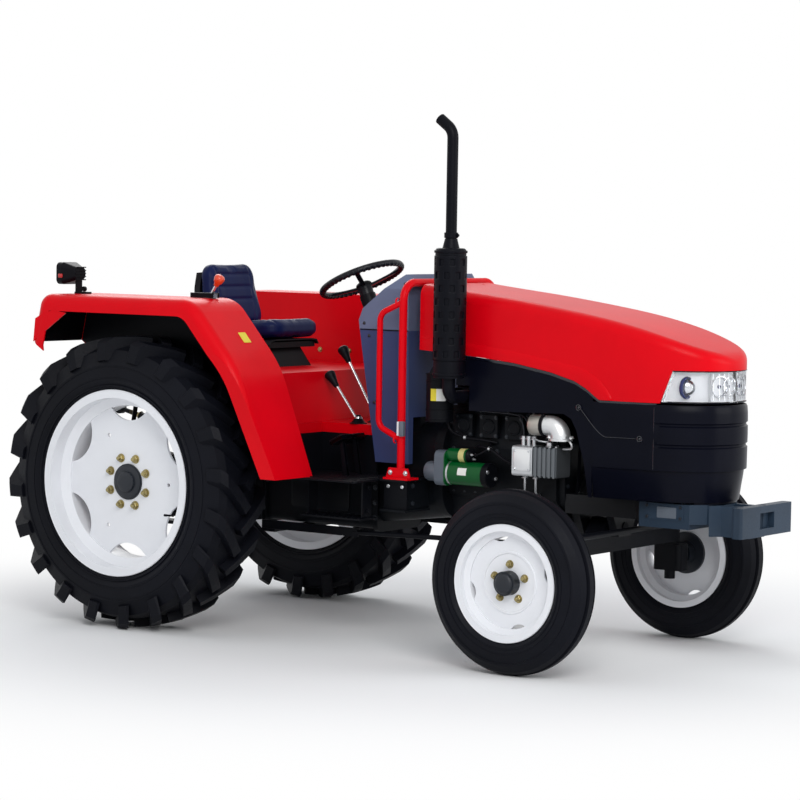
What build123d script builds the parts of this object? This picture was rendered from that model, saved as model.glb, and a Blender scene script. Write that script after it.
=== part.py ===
from build123d import *
from math import cos, radians, sin
import os

# A two-wheel-drive farm tractor. Millimetres. X points forwards, Y to the driver's left, Z up.
# Everything is drawn from the rear axle: X = 0 is the rear axle and Z = 0 the ground.
# The stored frame has its origin on the ground, on the middle plane, half way along the tractor.

# Stance
WHEELBASE = 1880
REAR_TRACK = 1270
FRONT_TRACK = 1290
CLEAR = 0.3                    # gap between pieces that seat on each other
RUNNING = 0.05                 # radial gap between a shaft and its bearing

# Rear wheels
REAR_TYRE_R = 602
REAR_TYRE_W = 284
REAR_LUG_H = 36
REAR_LUG_COUNT = 20            # on each side of the tread
REAR_LUG_W = 40
REAR_RIM_R = 381
REAR_RIM_W = 262
REAR_RIM_T = 7
REAR_SEAT_STEP = 25             # rim flange stands this far above the bead seat
REAR_DISC_Y = 30               # disc stands this far outside the tyre's middle plane
REAR_DISC_T = 10
REAR_EARS = 6
REAR_HUB_R = 74
REAR_STUD_PCD = 206
REAR_STUDS = 8

# Front wheels
FRONT_TYRE_R = 350
FRONT_TYRE_W = 150
FRONT_RIM_R = 221
FRONT_RIM_W = 124
FRONT_RIM_T = 6
FRONT_SEAT_STEP = 19
FRONT_DISC_Y = 12
FRONT_DISC_T = 8
SPINDLE_R = 19
FRONT_HUB_R = 46
FRONT_STUD_PCD = 140
FRONT_STUDS = 5
KINGPIN_Y = 520
KINGPIN_R = 22
STEER_ARM = 150

# Engine, transmission and frame
ENGINE_BACK_X = 1230
ENGINE_FRONT_X = 1750
ENGINE_HALF_W = 150
CRANK_Z = 700
SUMP_Z = 480
HEAD_Z = 960
HEAD_H = 90
HOUSING_HALF_W = 165
TRUMPET_END_Y = 455
GEARBOX_TOP_Z = 840
GEARBOX_LOW_Z = 430
SUPPORT_HALF_W = 170
SUPPORT_Z = (545, 640)
SUPPORT_FRONT_X = 2360
TOW_PLATE_X = 2600
TOW_PLATE_HALF_W = 175
BEAM_Z = (412, 480)

# Body
HOOD_BACK_X = 1165
HOOD_HALF_W = 262
HOOD_LOW_Z = 1150
HOOD_SHEET = 6
LAMP_LOW_Z = 1022
NOSE_X = 2420                  # corner between the front and side of the nose
NOSE_HALF_W = 140
CONSOLE_HALF_W = 250
FENDER_INNER_Y = 470
FENDER_OUTER_Y = 775
FENDER_SHEET = 6
FLOOR_Z = 655
FLOOR_T = 8
HOOP_X = 1125
HOOP_HALF_W = 322
HOOP_TOP_Z = 1447
HOOP_TUBE_R = 16
GUARD_FOOT_Z = 665
CONSOLE_SEAT_Z = 905
MUFFLER_POS = (1370, -352)
MUFFLER_R = 61
MUFFLER_Z = (1082, 1590)
STACK_R = 22
STACK_TOP_Z = 2110
STEERING_POS = (679, 1448)
STEERING_TILT = 25
STEERING_R = 172
STEERING_TUBE_R = 13

# Hitch
LINK_PIN = (40, 445)
LINK_Y = 205
LINK_END_X = -740
LINK_END_Y = 341
LIFT_SHAFT = (-40, 905)
LIFT_TOP_Z = 975
LIFT_ARM_END = (-330, 905)
LINK_ROD_PIN_X = -410
TOP_PIN = (-214, 740)

REAR_END_X = LINK_END_X - 30
FRONT_END_X = TOW_PLATE_X
MIDDLE_X = (REAR_END_X + FRONT_END_X) / 2


def store(part, name):
    """Writes one piece, moved from the rear axle's frame to the stored frame."""
    piece = part.moved(Location((-MIDDLE_X, 0, 0)))
    piece.label = name
    export_step(piece, f"parts/{name}.step")


def ring_plane(y, side=1):
    """A plane square to the Y axis at y, facing outwards on the given side."""
    return Plane(origin=(0, y, 0), x_dir=(1, 0, 0), z_dir=(0, side, 0))


def tube_path(points, radius, bends):
    """A round bar along straight runs joined by bends."""
    route = FilletPolyline(*points, radius=bends)
    start = Plane(origin=route @ 0, z_dir=route % 0)
    return sweep(start * Circle(radius), path=route)


def cylinder_y(x, z, radius, y_from, y_to):
    """A round bar along Y, made outside any builder."""
    length = abs(y_to - y_from)
    return Pos(x, (y_from + y_to) / 2, z) * Rot(90, 0, 0) * Cylinder(radius, length)


os.makedirs("parts", exist_ok=True)


# Rear tyre: a solid ring, with angled lugs that run from the middle to past the shoulder.
def rear_tyre():
    tread_r = REAR_TYRE_R - REAR_LUG_H
    half = REAR_TYRE_W / 2
    bead = REAR_RIM_W / 2 - REAR_RIM_T - CLEAR
    bead_r = REAR_RIM_R - REAR_SEAT_STEP + CLEAR
    with BuildPart() as ring:
        with BuildSketch(Plane.YZ):
            with BuildLine():
                Polyline(
                    (-bead, bead_r), (-bead, REAR_RIM_R + CLEAR), (-half, REAR_RIM_R + 42),
                    (-half + 4, tread_r - 80), (-half + 26, tread_r - 22), (-half + 60, tread_r - 6),
                    (0, tread_r), (half - 60, tread_r - 6), (half - 26, tread_r - 22),
                    (half - 4, tread_r - 80), (half, REAR_RIM_R + 42), (bead, REAR_RIM_R + CLEAR),
                    (bead, bead_r), close=True,
                )
            make_face()
        revolve(axis=Axis.Y)
    with BuildPart() as envelope:
        with BuildSketch(Plane.YZ):
            with BuildLine():
                Polyline(
                    (-half - 2, tread_r - 62), (-half + 2, REAR_TYRE_R - 26), (-half + 24, REAR_TYRE_R - 6),
                    (-40, REAR_TYRE_R), (40, REAR_TYRE_R), (half - 24, REAR_TYRE_R - 6),
                    (half - 2, REAR_TYRE_R - 26), (half + 2, tread_r - 62), (half - 60, tread_r - 70),
                    (-half + 60, tread_r - 70), close=True,
                )
            make_face()
        revolve(axis=Axis.Y)
    lug_angle = 45
    lug_length = (half + 16) / cos(radians(lug_angle))
    step = 360 / REAR_LUG_COUNT
    lugs = []
    for side in (1, -1):
        turn = 0 if side > 0 else step / 2
        bar = Pos(0, side * half / 2, 0) * Rot(0, 0, side * lug_angle) * Box(REAR_LUG_W, lug_length, 150)
        for n in range(REAR_LUG_COUNT):
            lugs.append(Rot(0, turn + n * step, 0) * Pos(0, 0, tread_r - 10) * bar)
    bars = Part() + lugs
    blocks = bars & envelope.part
    return ring.part + blocks


# Rear rim: flanges, bead seats and a drop centre, with the disc that carries it bolted to ears.
def rear_rim():
    half = REAR_RIM_W / 2
    seat_r = REAR_RIM_R - REAR_SEAT_STEP
    well_r = seat_r - 34
    t = REAR_RIM_T
    with BuildPart() as rim:
        with BuildSketch(Plane.YZ):
            with BuildLine():
                Polyline(
                    (-half, REAR_RIM_R), (-half, seat_r - t),
                    (-half + 62, seat_r - t), (-half + 84, well_r - t),
                    (half - 84, well_r - t), (half - 62, seat_r - t), (half, seat_r - t), (half, REAR_RIM_R),
                    (half - t, REAR_RIM_R), (half - t, seat_r), (half - 60, seat_r), (half - 80, well_r),
                    (-half + 80, well_r), (-half + 60, seat_r), (-half + t, seat_r), (-half + t, REAR_RIM_R),
                    close=True,
                )
            make_face()
        revolve(axis=Axis.Y)
    disc_r = well_r - t + 1
    with BuildPart() as disc:
        with BuildSketch(ring_plane(REAR_DISC_Y)):
            Circle(disc_r)
            with PolarLocations(disc_r + 62, REAR_EARS, start_angle=180 / REAR_EARS):
                Circle(125, mode=Mode.SUBTRACT)
            Circle(REAR_HUB_R + CLEAR, mode=Mode.SUBTRACT)
            with PolarLocations(215, 3):
                Circle(8, mode=Mode.SUBTRACT)
            with PolarLocations(REAR_STUD_PCD / 2, REAR_STUDS, start_angle=180 / REAR_STUDS):
                Circle(8 + CLEAR, mode=Mode.SUBTRACT)
        extrude(amount=REAR_DISC_T)
    return rim.part + disc.part


# Rear hub: axle shaft, flange, boss and wheel studs with nuts.
def rear_hub():
    inner = TRUMPET_END_Y + CLEAR - REAR_TRACK / 2
    face = REAR_DISC_Y
    with BuildPart() as hub:
        with BuildSketch(ring_plane(inner)):
            Circle(45)
        extrude(amount=face - 18 - inner)
        with BuildSketch(ring_plane(face - 18)):
            Circle(REAR_STUD_PCD / 2 + 18)
        extrude(amount=18 - CLEAR)
        with BuildSketch(ring_plane(face - 18)):
            Circle(REAR_HUB_R)
        extrude(amount=18 + REAR_DISC_T + 6)
        with BuildSketch(ring_plane(face - 18)):
            with PolarLocations(REAR_STUD_PCD / 2, REAR_STUDS, start_angle=180 / REAR_STUDS):
                Circle(8)
        extrude(amount=18 + REAR_DISC_T + 22)
        with BuildSketch(ring_plane(face + REAR_DISC_T + CLEAR)):
            with PolarLocations(REAR_STUD_PCD / 2, REAR_STUDS, start_angle=180 / REAR_STUDS):
                RegularPolygon(14, 6)
        extrude(amount=14)
    return hub.part


# Front tyre: a rounded ring with three ribs round the tread.
def front_tyre():
    half = FRONT_TYRE_W / 2
    bead = FRONT_RIM_W / 2 - FRONT_RIM_T - CLEAR
    bead_r = FRONT_RIM_R - FRONT_SEAT_STEP + CLEAR
    groove = 8
    r = FRONT_TYRE_R
    with BuildPart() as ring:
        with BuildSketch(Plane.YZ):
            with BuildLine():
                Polyline(
                    (-bead, bead_r), (-bead, FRONT_RIM_R + CLEAR), (-half + 4, FRONT_RIM_R + 18),
                    (-half, FRONT_RIM_R + 44), (-half + 8, r - 42), (-half + 26, r - 16),
                    (-30, r - 5), (-26, r - 5 - groove), (-16, r - 5 - groove), (-13, r), (13, r),
                    (16, r - 5 - groove), (26, r - 5 - groove), (30, r - 5), (half - 26, r - 16),
                    (half - 8, r - 42), (half, FRONT_RIM_R + 44), (half - 4, FRONT_RIM_R + 18),
                    (bead, FRONT_RIM_R + CLEAR), (bead, bead_r), close=True,
                )
            make_face()
        revolve(axis=Axis.Y)
    return ring.part


# Front rim with its pressed disc, four crescent slots and five stud holes.
def front_rim():
    half = FRONT_RIM_W / 2
    seat_r = FRONT_RIM_R - FRONT_SEAT_STEP
    well_r = seat_r - 22
    t = FRONT_RIM_T
    with BuildPart() as rim:
        with BuildSketch(Plane.YZ):
            with BuildLine():
                Polyline(
                    (-half, FRONT_RIM_R), (-half, seat_r - t),
                    (-half + 24, seat_r - t), (-half + 34, well_r - t),
                    (half - 34, well_r - t), (half - 24, seat_r - t), (half, seat_r - t), (half, FRONT_RIM_R),
                    (half - t, FRONT_RIM_R), (half - t, seat_r), (half - 24, seat_r), (half - 34, well_r),
                    (-half + 34, well_r), (-half + 24, seat_r), (-half + t, seat_r), (-half + t, FRONT_RIM_R),
                    close=True,
                )
            make_face()
        revolve(axis=Axis.Y)
    disc_r = well_r - t + 1
    with BuildPart() as disc:
        with BuildSketch(ring_plane(FRONT_DISC_Y)):
            Circle(disc_r)
            Circle(FRONT_HUB_R + CLEAR, mode=Mode.SUBTRACT)
            with PolarLocations(disc_r + 33, 4, start_angle=-14):
                Circle(50, mode=Mode.SUBTRACT)
            with PolarLocations(FRONT_STUD_PCD / 2, FRONT_STUDS, start_angle=54):
                Circle(7 + CLEAR, mode=Mode.SUBTRACT)
        extrude(amount=FRONT_DISC_T)
    return rim.part + disc.part


# Front hub: a drum on the spindle, its flange, cap and studs.
FRONT_HUB_BACK = -42
FRONT_BORE_END = 48


def front_hub():
    face = FRONT_DISC_Y
    with BuildPart() as hub:
        with BuildSketch(ring_plane(FRONT_HUB_BACK)):
            Circle(FRONT_HUB_R)
        extrude(amount=face + FRONT_DISC_T + 40 - FRONT_HUB_BACK)
        with BuildSketch(ring_plane(face - 14)):
            Circle(FRONT_STUD_PCD / 2 + 16)
        extrude(amount=14 - CLEAR)
        with BuildSketch(ring_plane(face - 14)):
            with PolarLocations(FRONT_STUD_PCD / 2, FRONT_STUDS, start_angle=54):
                Circle(7)
        extrude(amount=14 + FRONT_DISC_T + 18)
        with BuildSketch(ring_plane(face + FRONT_DISC_T + CLEAR)):
            with PolarLocations(FRONT_STUD_PCD / 2, FRONT_STUDS, start_angle=54):
                RegularPolygon(12, 6)
        extrude(amount=11)
        with BuildSketch(ring_plane(FRONT_HUB_BACK)):
            Circle(SPINDLE_R + RUNNING)
        extrude(amount=FRONT_BORE_END - FRONT_HUB_BACK, mode=Mode.SUBTRACT)
    return hub.part


def place_wheels(piece, name, x, track, z):
    """Stores a left-hand wheel piece on its axle end, and its mirror image on the right."""
    left = Pos(x, track / 2, z) * piece
    store(left, f"{name}_left")
    store(mirror(left, about=Plane.XZ), f"{name}_right")


place_wheels(rear_tyre(), "rear_tyre", 0, REAR_TRACK, REAR_TYRE_R)
place_wheels(rear_rim(), "rear_rim", 0, REAR_TRACK, REAR_TYRE_R)
place_wheels(rear_hub(), "rear_hub", 0, REAR_TRACK, REAR_TYRE_R)
place_wheels(front_tyre(), "front_tyre", WHEELBASE, FRONT_TRACK, FRONT_TYRE_R)
place_wheels(front_rim(), "front_rim", WHEELBASE, FRONT_TRACK, FRONT_TYRE_R)
place_wheels(front_hub(), "front_hub", WHEELBASE, FRONT_TRACK, FRONT_TYRE_R)




def side_view(y=0):
    """A sketch plane whose two directions are X and Z; a negative extrusion goes to the left."""
    return Plane.XZ.offset(-y)


def both_sides(piece):
    """The piece with its mirror image across the middle plane."""
    return Part() + [piece, mirror(piece, about=Plane.XZ)]


def rod(start, end, radius):
    """A straight round bar between two points, made outside any builder."""
    line = Vector(*end) - Vector(*start)
    plane = Plane(origin=start, z_dir=line)
    return extrude(plane * Circle(radius), amount=line.length)


def slab(outline, y_from, y_to):
    """A side-view outline made as thick as the two Y values say."""
    face = make_face(Polyline(*outline, close=True))
    return extrude(Plane.XZ.offset(-y_from) * face, amount=-(y_to - y_from))


# Steering knuckle: kingpin, spindle and the arm for the tie rod; the left one also has the drag arm.
SLEEVE_R = KINGPIN_R + 16
SLEEVE_Z = (BEAM_Z[0] - 12, BEAM_Z[1] + 60)
ARM_T = 16
TIE_ROD_R = 12
TIE_ROD_Z = SLEEVE_Z[1] - 30
BALL_R = 21
DRAG_Z = SLEEVE_Z[1] + 48
DRAG_ARM = 150


def knuckle(with_drag_arm):
    top = SLEEVE_Z[1] + CLEAR
    hub_back = FRONT_TRACK / 2 + FRONT_HUB_BACK
    with BuildPart() as body:
        with BuildSketch(Plane.XY.offset(256)):
            with Locations((WHEELBASE, KINGPIN_Y)):
                Circle(KINGPIN_R)
        extrude(amount=top + ARM_T - 256)
        with BuildSketch(Plane.XY.offset(292)):
            with Locations((WHEELBASE, KINGPIN_Y + 6)):
                RectangleRounded(128, 84, 22)
        extrude(amount=SLEEVE_Z[0] - CLEAR - 292)
        with BuildSketch(side_view(KINGPIN_Y + 30)):
            with Locations((WHEELBASE, FRONT_TYRE_R)):
                Circle(36)
        extrude(amount=-(hub_back - 1 - KINGPIN_Y - 30))
        with BuildSketch(side_view(KINGPIN_Y + 30)):
            with Locations((WHEELBASE, FRONT_TYRE_R)):
                Circle(SPINDLE_R)
        extrude(amount=-(FRONT_TRACK / 2 + FRONT_BORE_END - 2 - KINGPIN_Y - 30))
        with BuildSketch(Plane.XY.offset(top)):
            with BuildLine():
                Line((WHEELBASE, KINGPIN_Y), (WHEELBASE + STEER_ARM, KINGPIN_Y))
            trace(line_width=44)
            with Locations((WHEELBASE, KINGPIN_Y)):
                Circle(SLEEVE_R)
            with Locations((WHEELBASE + STEER_ARM, KINGPIN_Y)):
                Circle(22)
        extrude(amount=ARM_T)
        with BuildSketch(Plane.XY.offset(top)):
            with Locations((WHEELBASE + STEER_ARM, KINGPIN_Y)):
                Circle(8)
        extrude(amount=-(top - TIE_ROD_Z + 16))
        if with_drag_arm:
            with BuildSketch(Plane.XY.offset(top)):
                with BuildLine():
                    Line((WHEELBASE, KINGPIN_Y), (WHEELBASE, KINGPIN_Y - DRAG_ARM))
                trace(line_width=44)
                with Locations((WHEELBASE, KINGPIN_Y - DRAG_ARM)):
                    Circle(22)
            extrude(amount=ARM_T)
            with BuildSketch(Plane.XY.offset(top)):
                with Locations((WHEELBASE, KINGPIN_Y - DRAG_ARM)):
                    Circle(10)
            extrude(amount=DRAG_Z - top)
            with Locations((WHEELBASE, KINGPIN_Y - DRAG_ARM, DRAG_Z)):
                Sphere(BALL_R)
    return body.part


store(knuckle(True), "knuckle_left")
store(mirror(knuckle(False), about=Plane.XZ), "knuckle_right")

# Tie rod: a tube between the two steering arms, with an eye round each pin.
with BuildPart() as tie_rod:
    with BuildSketch(side_view(-KINGPIN_Y + 20)):
        with Locations((WHEELBASE + STEER_ARM, TIE_ROD_Z)):
            Circle(TIE_ROD_R)
    extrude(amount=-(2 * KINGPIN_Y - 40))
    with BuildSketch(Plane.XY.offset(TIE_ROD_Z)):
        with Locations((WHEELBASE + STEER_ARM, KINGPIN_Y), (WHEELBASE + STEER_ARM, -KINGPIN_Y)):
            Circle(26)
    extrude(amount=13, both=True)
    with BuildSketch(Plane.XY.offset(TIE_ROD_Z)):
        with Locations((WHEELBASE + STEER_ARM, KINGPIN_Y), (WHEELBASE + STEER_ARM, -KINGPIN_Y)):
            Circle(8 + 1)
    extrude(amount=13, both=True, mode=Mode.SUBTRACT)
store(tie_rod.part, "tie_rod")

# Front axle: a box beam with a sleeve for each kingpin and the pin that it rocks on.
PIVOT_Z = BEAM_Z[1] + 34
PIVOT_R = 20
with BuildPart() as front_axle:
    with BuildSketch(Plane.YZ.offset(WHEELBASE - 38)):
        with BuildLine():
            Polyline(
                (-KINGPIN_Y, BEAM_Z[0]), (KINGPIN_Y, BEAM_Z[0]), (KINGPIN_Y, BEAM_Z[1]), (90, BEAM_Z[1]),
                (48, PIVOT_Z + 12), (24, PIVOT_Z + 34), (-24, PIVOT_Z + 34), (-48, PIVOT_Z + 12),
                (-90, BEAM_Z[1]), (-KINGPIN_Y, BEAM_Z[1]), close=True,
            )
        make_face()
    extrude(amount=76)
    with BuildSketch(Plane.YZ.offset(WHEELBASE - 100)):
        with Locations((0, PIVOT_Z)):
            Circle(PIVOT_R)
    extrude(amount=200)
    with BuildSketch(Plane.XY.offset(SLEEVE_Z[0])):
        with Locations((WHEELBASE, KINGPIN_Y), (WHEELBASE, -KINGPIN_Y)):
            Circle(SLEEVE_R)
    extrude(amount=SLEEVE_Z[1] - SLEEVE_Z[0])
    with BuildSketch(Plane.XY.offset(SLEEVE_Z[0])):
        with Locations((WHEELBASE, KINGPIN_Y), (WHEELBASE, -KINGPIN_Y)):
            Circle(KINGPIN_R + RUNNING)
    extrude(amount=SLEEVE_Z[1] - SLEEVE_Z[0], mode=Mode.SUBTRACT)
store(front_axle.part, "front_axle")

# Front support: a casting from the engine's front end forwards, with the two hangers of the axle.
SUPPORT_BACK_X = ENGINE_FRONT_X + 30 + CLEAR
with BuildPart() as front_support:
    with BuildSketch(Plane.XY.offset(SUPPORT_Z[0] + 20)):
        with BuildLine():
            Polyline(
                (SUPPORT_BACK_X, -130), (2100, -130), (2138, -SUPPORT_HALF_W),
                (SUPPORT_FRONT_X, -SUPPORT_HALF_W),
                (SUPPORT_FRONT_X + 45, -116), (SUPPORT_FRONT_X + 45, 116), (SUPPORT_FRONT_X, SUPPORT_HALF_W),
                (2138, SUPPORT_HALF_W), (2100, 130), (SUPPORT_BACK_X, 130), close=True,
            )
        make_face()
    extrude(amount=SUPPORT_Z[1] - SUPPORT_Z[0] - 20)
    with BuildSketch(Plane.XY.offset(SUPPORT_Z[0])):
        with Locations((2248, 0)):
            Rectangle(220, 2 * SUPPORT_HALF_W)
    extrude(amount=30)
    with Locations((2200, 0, 600)):
        Box(180, 220, 100, mode=Mode.SUBTRACT)
    for x in (WHEELBASE - 96, WHEELBASE + 62):
        with BuildSketch(Plane.YZ.offset(x)):
            with BuildLine():
                Polyline((-90, SUPPORT_Z[0] + 22), (-44, PIVOT_Z - 36), (44, PIVOT_Z - 36),
                         (90, SUPPORT_Z[0] + 22),
                         (90, SUPPORT_Z[1]), (-90, SUPPORT_Z[1]), close=True)
            make_face()
            with Locations((0, PIVOT_Z)):
                Circle(PIVOT_R + CLEAR, mode=Mode.SUBTRACT)
        extrude(amount=34)
store(front_support.part, "front_support")

# Tow plate: a neck on the front support with a slotted plate across it and a pin hole.
TOW_PIN = (TOW_PLATE_X - 22, 15)
with BuildPart() as tow_plate:
    with BuildSketch(Plane.XY.offset(518)):
        with BuildLine():
            Polyline((SUPPORT_FRONT_X + 45 + CLEAR, -100), (2440, -68), (TOW_PLATE_X - 44, -62),
                     (TOW_PLATE_X - 44, 62), (2440, 68), (SUPPORT_FRONT_X + 45 + CLEAR, 100), close=True)
        make_face()
    extrude(amount=118)
    with Locations((2480, 0, 600)):
        Box(90, 90, 90, mode=Mode.SUBTRACT)
    with BuildSketch(Plane.XY.offset(530)):
        with Locations((TOW_PLATE_X - 22, 0)):
            RectangleRounded(44, 2 * TOW_PLATE_HALF_W + 50, 12)
    extrude(amount=115)
    with Locations((TOW_PLATE_X - 10, 0, 588)):
        Box(30, 110, 60, mode=Mode.SUBTRACT)
    with BuildSketch(Plane.XY.offset(518)):
        with Locations((TOW_PIN[0], 0)):
            Circle(TOW_PIN[1])
    extrude(amount=140, mode=Mode.SUBTRACT)
store(tow_plate.part, "tow_plate")

# Engine: crankcase with its sump, flywheel housing, timing cover and the steering box on its left.
STEERING_BOX_X = 1300
PITMAN_Z = 735
with BuildPart() as engine_block:
    with BuildSketch(Plane.YZ.offset(ENGINE_BACK_X)):
        with BuildLine():
            Polyline((-110, SUMP_Z), (110, SUMP_Z), (128, SUMP_Z + 110), (ENGINE_HALF_W, SUMP_Z + 130),
                     (ENGINE_HALF_W, 800), (120, HEAD_Z), (-120, HEAD_Z), (-ENGINE_HALF_W, 800),
                     (-ENGINE_HALF_W, SUMP_Z + 130), (-128, SUMP_Z + 110), close=True)
        make_face()
    extrude(amount=ENGINE_FRONT_X - ENGINE_BACK_X)
    with BuildSketch(Plane.YZ.offset(1200 + CLEAR)):
        with Locations((0, CRANK_Z)):
            RectangleRounded(390, 400, 120)
    extrude(amount=40)
    with BuildSketch(Plane.YZ.offset(ENGINE_FRONT_X)):
        with Locations((0, CRANK_Z + 60)):
            RectangleRounded(270, 380, 60)
    extrude(amount=30)
    for n in range(4):
        with Locations((ENGINE_BACK_X + 85 + n * 120, -ENGINE_HALF_W, 885)):
            Box(84, 24, 90)
    with Locations((STEERING_BOX_X, 222, PITMAN_Z)):
        Box(90, 146, 84)
    with BuildSketch(side_view(295)):
        with Locations((STEERING_BOX_X, PITMAN_Z)):
            Circle(20)
    extrude(amount=-8)
store(engine_block.part, "engine_block")

with BuildPart() as cylinder_head:
    with Locations(((ENGINE_BACK_X + ENGINE_FRONT_X) / 2, 0, HEAD_Z + CLEAR + HEAD_H / 2)):
        Box(ENGINE_FRONT_X - ENGINE_BACK_X - 40, 230, HEAD_H)
    with Locations(((ENGINE_BACK_X + ENGINE_FRONT_X) / 2, 0, HEAD_Z + HEAD_H + 30)):
        Box(ENGINE_FRONT_X - ENGINE_BACK_X - 90, 150, 62)
    top = cylinder_head.edges().filter_by(Axis.X).sort_by(Axis.Z)[-2:]
    fillet(top, 22)
store(cylinder_head.part, "cylinder_head")

# Starter motor with its solenoid above, on the right side of the flywheel housing.
STARTER_Y = -217
with BuildPart() as starter_motor:
    for x_from, length, r, z in ((1241, 60, 40, 697), (1290, 200, 47, 697), (1290, 90, 27, 768)):
        with BuildSketch(Plane.YZ.offset(x_from)):
            with Locations((STARTER_Y, z)):
                Circle(r)
        extrude(amount=length)
    with BuildSketch(Plane.YZ.offset(1241)):
        with Locations((STARTER_Y, 715)):
            RectangleRounded(80, 140, 26)
    extrude(amount=50)
store(starter_motor.part, "starter_motor")

# Injection pump: a housing with a finned governor end, on the right of the crankcase.
PUMP_Y = -205
with BuildPart() as injection_pump:
    with BuildSketch(Plane.YZ.offset(1612)):
        with Locations((PUMP_Y, 768)):
            RectangleRounded(109, 118, 14)
    extrude(amount=94)
    with BuildSketch(Plane.YZ.offset(1705)):
        with Locations((PUMP_Y, 768)):
            Rectangle(100, 108)
    extrude(amount=110)
    for n in range(5):
        with BuildSketch(Plane.YZ.offset(1716 + n * 21)):
            with Locations((PUMP_Y, 768)):
                Rectangle(109, 118)
        extrude(amount=10)
    for x in (1630, 1655, 1680):
        with BuildSketch(Plane.XY.offset(826)):
            with Locations((x, PUMP_Y)):
                Circle(8)
        extrude(amount=26)
store(injection_pump.part, "injection_pump")

# Exhaust: manifold along the head, elbow, muffler and the stack with its bent end.
MANIFOLD_Z = 1005
elbow_pipe = tube_path([(1370, -160, MANIFOLD_Z), (1370, MUFFLER_POS[1], MANIFOLD_Z),
                        (1370, MUFFLER_POS[1], MUFFLER_Z[0] + 10)], 26, 44)
stack_pipe = tube_path([(*MUFFLER_POS, MUFFLER_Z[1]), (*MUFFLER_POS, STACK_TOP_Z - 62),
                        (MUFFLER_POS[0] - 62, MUFFLER_POS[1], STACK_TOP_Z - 16)], STACK_R, 60)
with BuildPart() as exhaust:
    with Locations((1490, -150, MANIFOLD_Z)):
        Box(420, 62, 56)
    for n in range(4):
        with Locations((1310 + n * 130, -128, MANIFOLD_Z)):
            Box(54, 25, 70)
    add(elbow_pipe)
    with BuildSketch(Plane.XY.offset(MUFFLER_Z[0])):
        with Locations(MUFFLER_POS):
            Circle(MUFFLER_R)
    extrude(amount=MUFFLER_Z[1] - MUFFLER_Z[0])
    fillet(exhaust.edges().filter_by(GeomType.CIRCLE).group_by(Axis.Z)[-1], 12)
    with BuildSketch(Plane.XY.offset(MUFFLER_Z[1] - 1)):
        with Locations(MUFFLER_POS):
            Circle(34)
    extrude(amount=38, taper=14)
    add(stack_pipe)
store(exhaust.part, "exhaust")

# Air cleaner canister, and the elbow that leads water from the front of the head.
CANISTER = (1255, -245)
with BuildPart() as air_cleaner:
    with BuildSketch(Plane.XY.offset(900)):
        with Locations(CANISTER):
            Circle(55)
    extrude(amount=190)
    with BuildSketch(Plane.XY.offset(1090)):
        with Locations(CANISTER):
            Circle(46)
    extrude(amount=34, taper=30)
    with Locations((1252, -155 - CLEAR, 985)):
        Box(40, 80, 36)
store(air_cleaner.part, "air_cleaner")

ELBOW_Z = 912
intake_elbow = tube_path([(1700, -162 - CLEAR, ELBOW_Z), (1700, -240, ELBOW_Z), (1822, -240, ELBOW_Z),
                          (1822, -240, ELBOW_Z - 50)], 40, 45)
store(intake_elbow, "intake_elbow")

# Radiator with its shroud and fan.
with BuildPart() as radiator:
    with Locations((1998, 0, 905)):
        Box(56, 400, 480)
    with Locations((1998, 0, 1165)):
        Box(70, 380, 44)
    with Locations((1998, 0, 653)):
        Box(70, 380, 26)
    with BuildSketch(Plane.YZ.offset(1904)):
        with Locations((0, 880)):
            Circle(197)
            Circle(191, mode=Mode.SUBTRACT)
    extrude(amount=67)
store(radiator.part, "radiator")

FAN_X = 1900
FAN_Z = 880
blade = Pos(0, 0, 105) * Rot(0, 0, 32) * Box(5, 62, 150)
blades = [Pos(FAN_X + 35, 0, FAN_Z) * Rot(n * 60, 0, 0) * blade for n in range(6)]
with BuildPart() as fan:
    with BuildSketch(Plane.YZ.offset(ENGINE_FRONT_X + 30 + CLEAR)):
        with Locations((0, FAN_Z)):
            Circle(42)
    extrude(amount=FAN_X + 55 - ENGINE_FRONT_X - 30)
    add(blades)
store(fan.part, "fan")

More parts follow.
